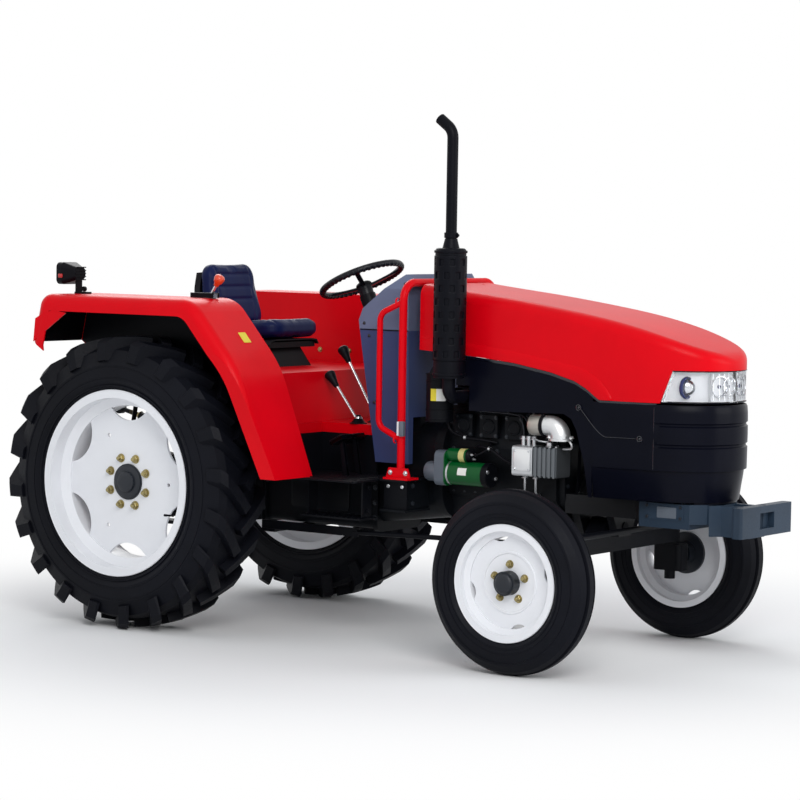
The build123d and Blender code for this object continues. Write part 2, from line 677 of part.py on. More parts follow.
# Transmission: clutch housing, gearbox, rear axle housing with its trumpets, and the guard brackets.
with BuildPart() as transmission:
    with BuildSketch(Plane.YZ.offset(880)):
        with Locations((0, 650)):
            RectangleRounded(280, 380, 40)
    with BuildSketch(Plane.YZ.offset(1200)):
        with Locations((0, CRANK_Z)):
            RectangleRounded(390, 400, 120)
    loft()
    with BuildSketch(Plane.YZ.offset(300)):
        with Locations((0, (GEARBOX_LOW_Z + GEARBOX_TOP_Z) / 2)):
            RectangleRounded(280, GEARBOX_TOP_Z - GEARBOX_LOW_Z, 24)
    extrude(amount=580)
    for x in (300, 880):
        with BuildSketch(Plane.YZ.offset(x - 12)):
            with Locations((0, (GEARBOX_LOW_Z + GEARBOX_TOP_Z) / 2)):
                RectangleRounded(310, GEARBOX_TOP_Z - GEARBOX_LOW_Z + 20, 34)
        extrude(amount=24)
    with BuildSketch(side_view()):
        with BuildLine():
            Polyline((-185, 470), (-120, 412), (160, 412), (300, GEARBOX_LOW_Z), (300, GEARBOX_TOP_Z),
                     (250, 850), (-150, 850), (-185, 790), close=True)
        make_face()
    extrude(amount=HOUSING_HALF_W, both=True)
    with BuildSketch(side_view()):
        with Locations((0, REAR_TYRE_R)):
            Circle(82)
    extrude(amount=TRUMPET_END_Y, both=True)
    for side in (1, -1):
        with BuildSketch(side_view(side * (TRUMPET_END_Y - 30))):
            with Locations((0, REAR_TYRE_R)):
                Circle(112)
        extrude(amount=-side * 30)
        with BuildSketch(side_view(side * HOUSING_HALF_W)):
            with Locations((0, REAR_TYRE_R)):
                Circle(122)
        extrude(amount=-side * 90, taper=24)
        with Locations((1112, side * 272, GUARD_FOOT_Z - CLEAR - 4), (1112, side * 272, 540)):
            Box(126, 176, 8)
        with Locations((1060, side * 258, 600), (1164, side * 258, 600)):
            Box(8, 148, 120)
    with BuildSketch(side_view()):
        with BuildLine():
            Polyline((-120, 840), (220, 840), (205, LIFT_TOP_Z), (-78, LIFT_TOP_Z), (-112, 945), close=True)
        make_face()
    extrude(amount=130, both=True)
    with Locations((1068, 0, CONSOLE_SEAT_Z - CLEAR - 40)):
        Box(56, 300, 80)
    with BuildSketch(side_view()):
        with Locations((LIFT_SHAFT[0], LIFT_SHAFT[1])):
            Circle(48)
    extrude(amount=165, both=True)
    with BuildSketch(side_view()):
        with Locations((LIFT_SHAFT[0], LIFT_SHAFT[1])):
            Circle(28 + RUNNING)
    extrude(amount=170, both=True, mode=Mode.SUBTRACT)
    with BuildSketch(Plane.YZ.offset(-185)):
        with Locations((0, 600)):
            Circle(52)
    extrude(amount=-20)
    with BuildSketch(Plane.YZ.offset(-205)):
        with Locations((0, 600)):
            Circle(17.4)
    extrude(amount=-76)
    for side in (1, -1):
        with BuildSketch(side_view(side * HOUSING_HALF_W)):
            with Locations(LINK_PIN):
                Circle(11)
        extrude(amount=-side * 66)
        with Locations((-208, side * 20, TOP_PIN[1] - 5)):
            Box(56, 8, 60)
    with BuildSketch(side_view()):
        with Locations(TOP_PIN):
            Circle(9.5)
    extrude(amount=26, both=True)
    with Locations((-60, 0, 383)):
        Box(200, 120, 60)
    with Locations((-60, 0, 361)):
        Box(220, 70 + 2 * CLEAR, 16, mode=Mode.SUBTRACT)
store(transmission.part, "transmission")

# Pitman arm on the steering box, and the drag link that it moves.
PITMAN = (STEERING_BOX_X, PITMAN_Z)
PITMAN_Y = 303
DRAG_END = (WHEELBASE - BALL_R - 1, KINGPIN_Y - DRAG_ARM, DRAG_Z)
with BuildPart() as pitman_arm:
    with BuildSketch(side_view(PITMAN_Y + CLEAR)):
        with BuildLine():
            Line(PITMAN, (PITMAN[0], PITMAN[1] - DRAG_ARM))
        trace(line_width=36)
        with Locations(PITMAN):
            Circle(26)
        with Locations((PITMAN[0], PITMAN[1] - DRAG_ARM)):
            Circle(20)
    extrude(amount=-16)
    with BuildSketch(side_view(PITMAN_Y + 10)):
        with Locations((PITMAN[0], PITMAN[1] - DRAG_ARM)):
            Circle(8)
    extrude(amount=-42)
store(pitman_arm.part, "pitman_arm")

link_rod = rod((PITMAN[0] + 10, PITMAN_Y + 34, PITMAN[1] - DRAG_ARM), DRAG_END, 11)
with BuildPart() as drag_link:
    with BuildSketch(side_view(PITMAN_Y + 22)):
        with Locations((PITMAN[0], PITMAN[1] - DRAG_ARM)):
            Circle(22)
    extrude(amount=-24)
    add(link_rod)
    with BuildSketch(side_view(PITMAN_Y + 20)):
        with Locations((PITMAN[0], PITMAN[1] - DRAG_ARM)):
            Circle(8 + RUNNING)
    extrude(amount=-40, mode=Mode.SUBTRACT)
store(drag_link.part, "drag_link")

# Radius rods: a cross bar under the gearbox, side bars and round rods up to the axle beam.
round_rods = [rod((900, side * 330, 436), (WHEELBASE - 38 - 1.6, side * 215, 446), 10) for side in (1, -1)]
with BuildPart() as radius_rods:
    with Locations((470, 0, GEARBOX_LOW_Z - 10 - CLEAR - 6)):
        Box(70, 680, 12)
    for side in (1, -1):
        with Locations((680, side * 330, 436)):
            Box(490, 14, 34)
        with Locations((470, side * 330, 426)):
            Box(70, 14, 40)
    add(round_rods)
store(radius_rods.part, "radius_rods")

# Seat deck over the transmission, tunnel, footboards and the step under each one.
DECK_Z = 1070
DECK_X = (-95, 628)
DECK_LIP = 34
TUNNEL_TOP_Z = 862
TUNNEL_FRONT_X = 925
SHEET = 6
FLOOR_X = (600, 1046)
FLOOR_OUT_Y = 520
deck_y = FENDER_INNER_Y - CLEAR
with BuildPart() as platform:
    with BuildSketch(side_view()):
        with BuildLine():
            Polyline((DECK_X[0], DECK_Z - DECK_LIP), (DECK_X[0] + SHEET, DECK_Z - DECK_LIP),
                     (DECK_X[0] + SHEET, DECK_Z - SHEET),
                     (DECK_X[1] - SHEET, DECK_Z - SHEET), (DECK_X[1] - SHEET, TUNNEL_TOP_Z - SHEET),
                     (DECK_X[1], TUNNEL_TOP_Z - SHEET), (DECK_X[1], DECK_Z), (DECK_X[0], DECK_Z), close=True)
        make_face()
    extrude(amount=deck_y, both=True)
    with BuildSketch(Plane.YZ.offset(DECK_X[1] - SHEET)):
        with BuildLine():
            Polyline((-215, FLOOR_Z), (215, FLOOR_Z), (200, TUNNEL_TOP_Z), (-200, TUNNEL_TOP_Z), close=True)
        make_face()
    extrude(amount=TUNNEL_FRONT_X - DECK_X[1] + SHEET)
    with BuildSketch(Plane.YZ.offset(DECK_X[1] - SHEET)):
        with BuildLine():
            Polyline((-215 + SHEET, FLOOR_Z), (215 - SHEET, FLOOR_Z), (200 - SHEET, TUNNEL_TOP_Z - SHEET),
                     (-200 + SHEET, TUNNEL_TOP_Z - SHEET), close=True)
        make_face()
    extrude(amount=TUNNEL_FRONT_X - DECK_X[1] + SHEET, mode=Mode.SUBTRACT)
    for side in (1, -1):
        with Locations(((DECK_X[1] + 12), side * 330, (TUNNEL_TOP_Z + FLOOR_Z) / 2)):
            Box(SHEET, 240, TUNNEL_TOP_Z - FLOOR_Z)
        with BuildSketch(Plane.XY.offset(FLOOR_Z)):
            with Locations(((FLOOR_X[0] + FLOOR_X[1]) / 2, side * (FLOOR_OUT_Y + 209) / 2)):
                RectangleRounded(FLOOR_X[1] - FLOOR_X[0], FLOOR_OUT_Y - 209, 20)
        extrude(amount=FLOOR_T)
        with Locations((880, side * 400, 504)):
            Box(300, 120, SHEET)
        for x in (745, 1015):
            with Locations((x, side * 400, (FLOOR_Z + 504) / 2)):
                Box(SHEET, 60, FLOOR_Z - 504)
    post = DECK_Z - SHEET - LIFT_TOP_Z - CLEAR
    for x in (-50, 170):
        with Locations((x, 0, LIFT_TOP_Z + CLEAR + post / 2)):
            Box(30, 240, post)
store(platform.part, "platform")

# Seat base on the deck.
with BuildPart() as seat_base:
    with BuildSketch(Plane.XY.offset(DECK_Z + CLEAR)):
        with Locations((165, 0)):
            RectangleRounded(300, 300, 20)
    with BuildSketch(Plane.XY.offset(1150)):
        with Locations((165, 0)):
            RectangleRounded(240, 220, 20)
    loft()
    with Locations((165, 0, 1162)):
        Box(300, 320, 24)
store(seat_base.part, "seat_base")

# Seat: a cushion with raised sides and a backrest that widens downwards.
with BuildPart() as seat:
    with BuildSketch(side_view()):
        with BuildLine():
            Polyline((-10, 1174 + CLEAR), (318, 1174 + CLEAR), (346, 1200), (342, 1232), (300, 1240),
                     (80, 1218),
                     (32, 1232), (-28, 1470), (-58, 1490), (-84, 1476), (-80, 1440), (-32, 1190), close=True)
        make_face()
    extrude(amount=195, both=True)
    with BuildSketch(side_view()):
        with BuildLine():
            Polyline((20, 1200), (330, 1200), (336, 1252), (300, 1262), (70, 1262), (-10, 1330),
                     (-40, 1330), close=True)
        make_face()
    extrude(amount=195, both=True)
    with BuildSketch(side_view()):
        with BuildLine():
            Polyline((400, 1236), (60, 1214), (30, 1226), (-6, 1345), (400, 1345), close=True)
        make_face()
    extrude(amount=140, both=True, mode=Mode.SUBTRACT)
    with BuildSketch(Plane.YZ.offset(-120)):
        with BuildLine():
            Polyline((-196, 1150), (196, 1150), (196, 1330), (158, 1470), (120, 1495), (-120, 1495),
                     (-158, 1470), (-196, 1330), close=True)
        make_face()
    extrude(amount=500, mode=Mode.INTERSECT)
store(seat.part, "seat")

# Fenders: a curved crown with a rounded outer edge and lip, and the inner wall beside the seat deck.
FENDER_CORNERS = [(-462, 1160), (-418, 1366), (392, 1366), (628, 1100)]
FENDER_BENDS = [60, 150, 480]
FENDER_FOOT_X = 800
FENDER_ROUND = 42
FENDER_LIP = 70
FENDER_TAPER_Z = 1150           # the foot starts to narrow here
FENDER_FOOT_Y = 712             # outer side of the foot at its lower end


def crown_solid(depth, y_from, y_to, rounding):
    """The volume under the crown, moved inwards by a depth, with a rounded outer edge."""
    low = FLOOR_Z - 200
    foot = (FENDER_FOOT_X, FLOOR_Z)
    with BuildPart() as volume:
        with BuildSketch(side_view(y_from)):
            with BuildLine():
                Polyline(*FENDER_CORNERS, foot, (FENDER_FOOT_X, low), (FENDER_CORNERS[0][0], low), close=True)
            face = make_face()
            for corner, bend in zip(FENDER_CORNERS[1:], FENDER_BENDS):
                place = Vector(corner[0], corner[1])
                near = sorted(face.vertices(), key=lambda v: (Vector(v.X, v.Y) - place).length)
                face = fillet(near[0], bend)
            if depth:
                offset(amount=-depth, kind=Kind.INTERSECTION, mode=Mode.REPLACE)
        extrude(amount=-(y_to - y_from))
        if rounding:
            outer = volume.faces().sort_by(Axis.Y)[-1]
            top = [e for e in outer.edges() if e.center().Z > FLOOR_Z + 20 and e.center().X > -470]
            back_x = FENDER_CORNERS[0][0] + depth
            fillet([e for e in top if abs(e.center().X - back_x) > 12 or e.center().Z > 1165], rounding)
    return volume.part


def foot_taper(depth):
    """All that lies outside the sloping side of the fender's front foot, moved inwards by a depth."""
    slope = (FENDER_OUTER_Y - FENDER_FOOT_Y) / (FENDER_TAPER_Z - FLOOR_Z)
    low = 200
    low_y = FENDER_OUTER_Y - slope * (FENDER_TAPER_Z - low)
    outline = Polyline((FENDER_OUTER_Y - depth, FENDER_TAPER_Z), (low_y - depth, low), (900, low),
                       (900, FENDER_TAPER_Z), close=True)
    return extrude(Plane.YZ.offset(-600) * make_face(outline), amount=1600)


outside = crown_solid(0, FENDER_INNER_Y, FENDER_OUTER_Y, FENDER_ROUND) - foot_taper(0)
inside = crown_solid(FENDER_SHEET, FENDER_INNER_Y + FENDER_SHEET, FENDER_OUTER_Y - FENDER_SHEET,
                     FENDER_ROUND - FENDER_SHEET) - foot_taper(FENDER_SHEET)
under_lip = crown_solid(FENDER_LIP, FENDER_INNER_Y + FENDER_SHEET, FENDER_OUTER_Y + 10, 0)
fender_low = FLOOR_Z + FLOOR_T + CLEAR
below_wall = slab([(900, fender_low), (540, fender_low), (-160, 975), (-470, 1180), (-600, 1180), (-600, 200),
                   (900, 200)], FENDER_INNER_Y - 10, FENDER_OUTER_Y + 20)
fender = outside - inside - under_lip - below_wall
store(both_sides(fender), "fenders")

# Guard: a tube over the hood's back from a foot on each side, with a hand loop behind each leg.
HOOP_FOOT_Z = GUARD_FOOT_Z + 4
hoop = tube_path([(HOOP_X, -HOOP_HALF_W, HOOP_FOOT_Z), (HOOP_X, -HOOP_HALF_W, HOOP_TOP_Z),
                  (HOOP_X, HOOP_HALF_W, HOOP_TOP_Z), (HOOP_X, HOOP_HALF_W, HOOP_FOOT_Z)], HOOP_TUBE_R, 70)
HAND_LOOP = [(HOOP_X, 1372), (1012, 1322), (1012, 872), (HOOP_X, 822)]
hand_loops = [tube_path([(x, side * HOOP_HALF_W, z) for x, z in HAND_LOOP], 12, 46) for side in (1, -1)]
guard_feet = [Pos(HOOP_X, side * HOOP_HALF_W, HOOP_FOOT_Z) * Box(120, 76, 8) for side in (1, -1)]
foot_web = slab([(HOOP_X - 60, HOOP_FOOT_Z), (HOOP_X + 60, HOOP_FOOT_Z), (HOOP_X + 46, HOOP_FOOT_Z + 42),
                 (HOOP_X - 46, HOOP_FOOT_Z + 42)], HOOP_HALF_W + 12, HOOP_HALF_W + 20)
guard_frame = hoop + hand_loops + guard_feet + both_sides(foot_web)
store(guard_frame, "guard_frame")

# Hood, nose and side panels share one plan and one top line.
HOOD_TOP = [(HOOD_BACK_X, 1444), (1281, 1430), (1513, 1405), (1739, 1376), (1961, 1342), (2178, 1295),
            (2390, 1228), (2440, 1204), (2464, 1172)]
HOOD_EDGE = [(HOOD_BACK_X, 1182), (1449, 1164), (1618, 1148), (1785, 1120), (1895, 1091), (1950, 1063),
             (2005, 1023)]
HOOD_ROUND = 44
HOOD_HINGE = (1180, 1424)
HINGE_Y = 110
LAMP_TOP_Z = 1148
LAMP_BACK_X = (2249, 2301)
NOSE_LOW_Z = 648
NOSE_FRONT_X = 2462
FAR_X = 2600


def plan_outline(inset):
    """The hood's outline from above, from the back to the nose, moved inwards by an inset."""
    half = HOOD_HALF_W - inset
    back = HOOD_BACK_X - 200
    side = [(1850, -half), (2100, -half + 10), (2290, -half + 37), (NOSE_X - inset, -NOSE_HALF_W + inset / 2)]
    other = [(x, -y) for x, y in reversed(side)]
    with BuildSketch() as outline:
        with BuildLine():
            Line((back, -half), side[0])
            Spline(*side, tangents=[(1, 0), (0.55, 0.83)])
            ThreePointArc(side[-1], (NOSE_FRONT_X - inset, 0), other[0])
            Spline(*other, tangents=[(-0.55, 0.83), (-1, 0)])
            Polyline(other[-1], (back, half), (back, -half))
        make_face()
    return outline.sketch


def plan_column(inset, low, high):
    """The hood's plan as a block between two heights."""
    return extrude(Pos(0, 0, low) * plan_outline(inset), amount=high - low)


def under_top_line(inset):
    """Everything under the hood's top line, moved down by an inset."""
    line = [(x, z - inset) for x, z in HOOD_TOP]
    with BuildPart() as volume:
        with BuildSketch(side_view(400)):
            with BuildLine():
                Spline(*line)
                Polyline(line[-1], (FAR_X, line[-1][1] - 20), (FAR_X, 900), (line[0][0] - 200, 900),
                         (line[0][0] - 200, line[0][1] + 25), line[0])
            make_face()
        extrude(amount=800)
    return volume.part


def hood_volume(inset):
    """The space that the hood covers, with rounded shoulders."""
    volume = under_top_line(inset) & plan_column(inset, 950, 1600)
    shoulders = [e for e in volume.edges() if e.center().Z > 1150 and e.geom_type != GeomType.LINE]
    return fillet(shoulders, HOOD_ROUND - inset)


def edge_cut(drop):
    """Everything below the hood's lower edge line, for cutting; the drop lowers the line."""
    line = [(x, z - drop) for x, z in HOOD_EDGE]
    with BuildPart() as volume:
        with BuildSketch(side_view(400)):
            with BuildLine():
                Spline(*line)
                Polyline(line[-1], (FAR_X, line[-1][1]), (FAR_X, 500), (HOOD_BACK_X - 300, 500),
                         (HOOD_BACK_X - 300, line[0][1] + 10), line[0])
            make_face()
        extrude(amount=800)
    return volume.part


behind_hood = Pos(HOOD_BACK_X - 200, 0, 1200) * Box(400, 800, 1400)
lamp_slot = slab([(LAMP_BACK_X[0], 1000), (LAMP_BACK_X[1], LAMP_TOP_Z), (FAR_X, LAMP_TOP_Z),
                  (FAR_X, 1000)], -400, 400)
hood_shell = hood_volume(0) - hood_volume(HOOD_SHEET)
hood = hood_shell - edge_cut(0) - behind_hood - lamp_slot
ear = slab([(HOOD_HINGE[0] - 11, HOOD_HINGE[1] - 11), (HOOD_HINGE[0] + 11, HOOD_HINGE[1] - 11),
            (HOOD_HINGE[0] + 24, 1440), (HOOD_HINGE[0] - 11, 1440)], HINGE_Y + 8 + CLEAR, HINGE_Y + 24)
pin_hole = cylinder_y(*HOOD_HINGE, 6 + RUNNING, HINGE_Y, HINGE_Y + 40)
hood = hood + both_sides(ear - pin_hole)
store(hood, "hood")

# Headlamps: one on each front corner under the hood, a lens in front of a closed housing.
LAMP_DEPTH = 62
lamp_ring = plan_column(2, HOOD_EDGE[-1][1] + 2, LAMP_TOP_Z - CLEAR) - plan_column(LAMP_DEPTH, 900, 1400)
lamp_gap = Pos(NOSE_FRONT_X, 0, 1080) * Box(200, 8, 400)
in_slot = slab([(LAMP_BACK_X[0] + 2, 1000), (LAMP_BACK_X[1] + 2, LAMP_TOP_Z), (FAR_X, LAMP_TOP_Z),
                (FAR_X, 1000)], -400, 400)
headlamps = (lamp_ring & in_slot) - lamp_gap
store(headlamps, "headlamps")

# Nose: the black grille shell below the lamps, with two grooves, a chin line and air slots.
PANEL_GAP = 5
NOSE_BACK_X = 1976
nose_shell = plan_column(3, NOSE_LOW_Z, 1200) - plan_column(3 + 5, NOSE_LOW_Z - 10, 1210)
nose_front = Pos(NOSE_BACK_X - 700, 0, 900) * Box(1400, 800, 900)
panel_top = edge_cut(PANEL_GAP)
nose_all = nose_shell & panel_top
chin_cut = Pos(NOSE_BACK_X - 350, 0, 700) * Box(1400, 800, 400)
chin_plate = plan_column(5, SUPPORT_Z[1] + CLEAR, NOSE_LOW_Z + 2) - chin_cut
nose_grille = nose_all - nose_front + chin_plate
for z in (770, 862, 942):
    nose_grille -= plan_column(-20, z - 4, z + 4) - plan_column(5.5, z - 10, z + 10)
store(nose_grille, "nose_grille")

# Side panels: black sheets under the hood's edge, cut away over the engine.
panel_zone = slab([(1342, 950), (1846, 962), (1880, 945), (1905, 900), (1942, 772), (1962, NOSE_LOW_Z),
                   (NOSE_BACK_X - CLEAR, NOSE_LOW_Z), (NOSE_BACK_X - CLEAR, 1200), (1342, 1200)], -400, 400)
pipe_notch = Pos(1369, -300, 990) * Box(72, 200, 120)
side_panels = (nose_all & panel_zone) - pipe_notch
store(side_panels, "side_panels")

# Steering column and wheel, both along the tilted shaft.
wheel_x, wheel_z = STEERING_POS
shaft = Vector(-sin(radians(STEERING_TILT)), 0, cos(radians(STEERING_TILT)))
wheel_plane = Plane(origin=(wheel_x, 0, wheel_z), x_dir=(0, 1, 0), z_dir=shaft)
HUB_DROP = 40                  # the hub sits this far below the rim's plane

# Console: a post that narrows towards its foot, cut out round the clutch housing and the tunnel.
CONSOLE_SEAM_Z = 1253
console_low = 718
housing_gap = 12
with BuildPart() as console:
    with BuildSketch(side_view()):
        with BuildLine():
            Polyline((936, console_low), (852, 1290), (872, 1338), (1052, 1478), (1092, 1480), (1100, 1440),
                     (1100, console_low), close=True)
        make_face()
    extrude(amount=CONSOLE_HALF_W, both=True)
    with BuildSketch(Plane.YZ.offset(700)):
        with BuildLine():
            Polyline((-232, 600), (232, 600), (CONSOLE_HALF_W, 1250), (CONSOLE_HALF_W, 1420), (190, 1500),
                     (-190, 1500), (-CONSOLE_HALF_W, 1420), (-CONSOLE_HALF_W, 1250), close=True)
        make_face()
    extrude(amount=600, mode=Mode.INTERSECT)
    with Locations((1000, 0, 700)):
        Box(600, 2 * (195 + housing_gap), 2 * (CONSOLE_SEAT_Z - 700), mode=Mode.SUBTRACT)
    for side in (1, -1):
        with BuildSketch(side_view(side * HINGE_Y)):
            with BuildLine():
                Polyline((1096, 1350), (1096, 1392), (HOOD_HINGE[0] - 16, 1402), (HOOD_HINGE[0] - 9, 1432),
                         (HOOD_HINGE[0] + 9, 1432), (HOOD_HINGE[0] + 14, 1398), (1160, 1366), close=True)
            make_face()
        extrude(amount=-side * 8)
        with BuildSketch(side_view(side * HINGE_Y)):
            with Locations(HOOD_HINGE):
                Circle(6)
        extrude(amount=-side * 28)
store(console.part, "console")

column_foot = Vector(wheel_x, 0, wheel_z) - shaft * 470
column_top = Vector(wheel_x, 0, wheel_z) - shaft * (HUB_DROP + 32)
column = rod(tuple(column_foot), tuple(column_top), 34) - console.part
column_solids = column.solids().sort_by(Axis.Z)
steering_column = column_solids[-1]
store(Part() + [steering_column], "steering_column")

spoke = Pos(STEERING_R / 2, 0, -HUB_DROP / 2) * Rot(0, -13, 0) * Box(STEERING_R, 20, 9)
spokes = [wheel_plane.location * Rot(0, 0, turn) * spoke for turn in (90, 210, 330)]
with BuildPart() as steering_wheel:
    with BuildSketch(Plane(origin=(wheel_x, 0, wheel_z), x_dir=shaft, z_dir=(0, 1, 0))):
        with Locations((0, STEERING_R)):
            Circle(STEERING_TUBE_R)
    revolve(axis=Axis((wheel_x, 0, wheel_z), shaft))
    with BuildSketch(wheel_plane.offset(-HUB_DROP - 31)):
        Circle(30)
    extrude(amount=44)
    add(spokes)
store(steering_wheel.part, "steering_wheel")

# Work lamp on the right fender: a stalk and a round housing that faces backwards.
crown_z = FENDER_CORNERS[1][1]
LAMP_POS = (-372, -620)
with BuildPart() as work_lamp:
    with BuildSketch(Plane.XY.offset(crown_z + CLEAR)):
        with Locations((LAMP_POS[0] + 62, LAMP_POS[1])):
            RectangleRounded(60, 50, 8)
    extrude(amount=8)
    with Locations((LAMP_POS[0] + 38, LAMP_POS[1], crown_z + 30)):
        Box(12, 30, 50)
    with BuildSketch(Plane.YZ.offset(LAMP_POS[0] - 38)):
        with Locations((LAMP_POS[1], crown_z + 84)):
            RectangleRounded(112, 92, 22)
    extrude(amount=26)
    with BuildSketch(Plane.YZ.offset(LAMP_POS[0] - 12)):
        with Locations((LAMP_POS[1], crown_z + 84)):
            RectangleRounded(112, 92, 22)
    with BuildSketch(Plane.YZ.offset(LAMP_POS[0] + 46)):
        with Locations((LAMP_POS[1], crown_z + 84)):
            RectangleRounded(64, 50, 18)
    loft()
store(work_lamp.part, "work_lamp")

# Controls: the two gear levers, the pedals and the hitch lever on the right fender.
GEAR_LEVER = ((812, -60, TUNNEL_TOP_Z + 8), (745, -60, 977), (637, -60, 1148))
RANGE_LEVER = ((798, -172, TUNNEL_TOP_Z + 8), (656, -172, 1049))
HITCH_LEVER = ((330, -560, crown_z + 7), (372, -560, 1440))
levers = []
for points, ball in ((GEAR_LEVER, 20), (RANGE_LEVER, 20), (HITCH_LEVER, 19)):
    for a, b in zip(points, points[1:]):
        levers.append(rod(a, b, 6))
    levers.append(Pos(*points[-1]) * Sphere(ball))
    for joint in points[1:-1]:
        levers.append(Pos(*joint) * Sphere(6))
boots = [Pos(815, -60, TUNNEL_TOP_Z + CLEAR + 14) * Cone(32, 14, 28),
         Pos(800, -172, TUNNEL_TOP_Z + CLEAR + 14) * Cone(26, 14, 28)]
hitch_gate = Pos(300, -560, crown_z + CLEAR + 9) * Box(110, 30, 18)
pedal_low = FLOOR_Z + FLOOR_T + CLEAR
pedals = []
for y in (262, -252, -338):
    pedals.append(slab([(858, pedal_low), (876, pedal_low), (850, 800), (838, 800)], y - 6, y + 6))
    pedals.append(Pos(838, y, 806) * Rot(0, -28, 0) * Box(64, 74, 12))
controls = Part() + levers + boots + pedals + [hitch_gate]
store(controls, "controls")

# Hitch lift: a shaft through the lift housing with an arm on each end.
ROD_Y = 250
arm_plates = []
for side in (1, -1):
    root = Plane(origin=(LIFT_SHAFT[0], side * 181, LIFT_SHAFT[1]), x_dir=(-1, side * 0.15, 0),
                 z_dir=(0, 0, 1))
    arm_plates.append(root.location * Pos(145, 0, 0) * Box(300, 16, 48))
with BuildPart() as lift_arms:
    with BuildSketch(side_view(-195)):
        with Locations(LIFT_SHAFT):
            Circle(28)
    extrude(amount=-390)
    add(arm_plates)
    for side in (1, -1):
        with BuildSketch(side_view(side * 171)):
            with Locations(LIFT_SHAFT):
                Circle(44)
        extrude(amount=-side * 24)
        with BuildSketch(side_view(side * (ROD_Y - 26))):
            with Locations(LIFT_ARM_END):
                Circle(24)
        extrude(amount=-side * 14)
        with BuildSketch(side_view(side * (ROD_Y - 20))):
            with Locations(LIFT_ARM_END):
                Circle(9)
        extrude(amount=-side * 38)
store(lift_arms.part, "lift_arms")

# Lift rods: from the arms down to the pins on the lower links.
LINK_REST = ROD_Y + 30
rod_tubes = [rod((LIFT_ARM_END[0] - 3, side * ROD_Y, LIFT_ARM_END[1] - 18),
                 (LINK_ROD_PIN_X + 5, side * ROD_Y, LINK_PIN[1] + 30), 10) for side in (1, -1)]
with BuildPart() as lift_rods:
    add(rod_tubes)
    for side in (1, -1):
        with BuildSketch(side_view(side * (ROD_Y - 11))):
            with Locations(LIFT_ARM_END):
                Circle(22)
            with Locations((LINK_ROD_PIN_X, LINK_PIN[1])):
                Circle(36)
        extrude(amount=-side * 22)
        with BuildSketch(side_view(side * (ROD_Y - 12))):
            with Locations(LIFT_ARM_END):
                Circle(9 + RUNNING)
            with Locations((LINK_ROD_PIN_X, LINK_PIN[1])):
                Circle(26)
        extrude(amount=-side * 24, mode=Mode.SUBTRACT)
store(lift_rods.part, "lift_rods")

# Lower links with a ball at each free end.
with BuildPart() as lower_links:
    for side in (1, -1):
        front = (LINK_PIN[0], side * LINK_Y)
        back = (LINK_END_X, side * LINK_END_Y)
        with BuildSketch(Plane.XY.offset(LINK_PIN[1] - 27)):
            with BuildLine():
                Line(front, back)
            trace(line_width=18)
        extrude(amount=44)
        with BuildSketch(side_view(side * (LINK_Y - 16))):
            with Locations(LINK_PIN):
                Circle(32)
        extrude(amount=-side * 32)
        with BuildSketch(side_view(side * (LINK_END_Y - 18))):
            with Locations((LINK_END_X, LINK_PIN[1])):
                Circle(30)
        extrude(amount=-side * 36)
        with BuildSketch(side_view(side * (ROD_Y - 14))):
            with Locations((LINK_ROD_PIN_X, LINK_PIN[1])):
                Circle(9)
        extrude(amount=-side * (LINK_REST - ROD_Y + 8))
        with BuildSketch(side_view(side * (LINK_Y - 20))):
            with Locations(LINK_PIN):
                Circle(11 + RUNNING)
        extrude(amount=-side * 42, mode=Mode.SUBTRACT)
        with BuildSketch(side_view(side * (LINK_END_Y - 20))):
            with Locations((LINK_END_X, LINK_PIN[1])):
                Circle(11)
        extrude(amount=-side * 44, mode=Mode.SUBTRACT)
store(lower_links.part, "lower_links")

# Top link: two threaded ends in a turnbuckle tube, parked sloping upwards.
TOP_END = (-640, 842)
top_tube = rod((TOP_PIN[0], 0, TOP_PIN[1]), (TOP_END[0], 0, TOP_END[1]), 10)
top_sleeve = rod((-330, 0, 767.8), (-520, 0, 813.3), 17)
with BuildPart() as top_link:
    add([top_tube, top_sleeve])
    with BuildSketch(side_view(-13)):
        with Locations(TOP_PIN, TOP_END):
            Circle(24)
    extrude(amount=-26)
    with BuildSketch(side_view(-15)):
        with Locations(TOP_PIN):
            Circle(9.5 + RUNNING)
        with Locations(TOP_END):
            Circle(9.5)
    extrude(amount=-30, mode=Mode.SUBTRACT)
store(top_link.part, "top_link")

# Drawbar: a flat bar in its guide, with the pin hole at its end.
DRAWBAR_Z = 353 + CLEAR
with BuildPart() as drawbar:
    with BuildSketch(Plane.XY.offset(DRAWBAR_Z)):
        with Locations((-210, 0)):
            SlotOverall(480, 70)
        with Locations((-410, 0)):
            Circle(15, mode=Mode.SUBTRACT)
    extrude(amount=16 - 2 * CLEAR)
store(drawbar.part, "drawbar")
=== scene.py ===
from contextlib import contextmanager
from math import cos, pi, radians, sin

import bmesh
import bpy
from mathutils import Matrix, Vector


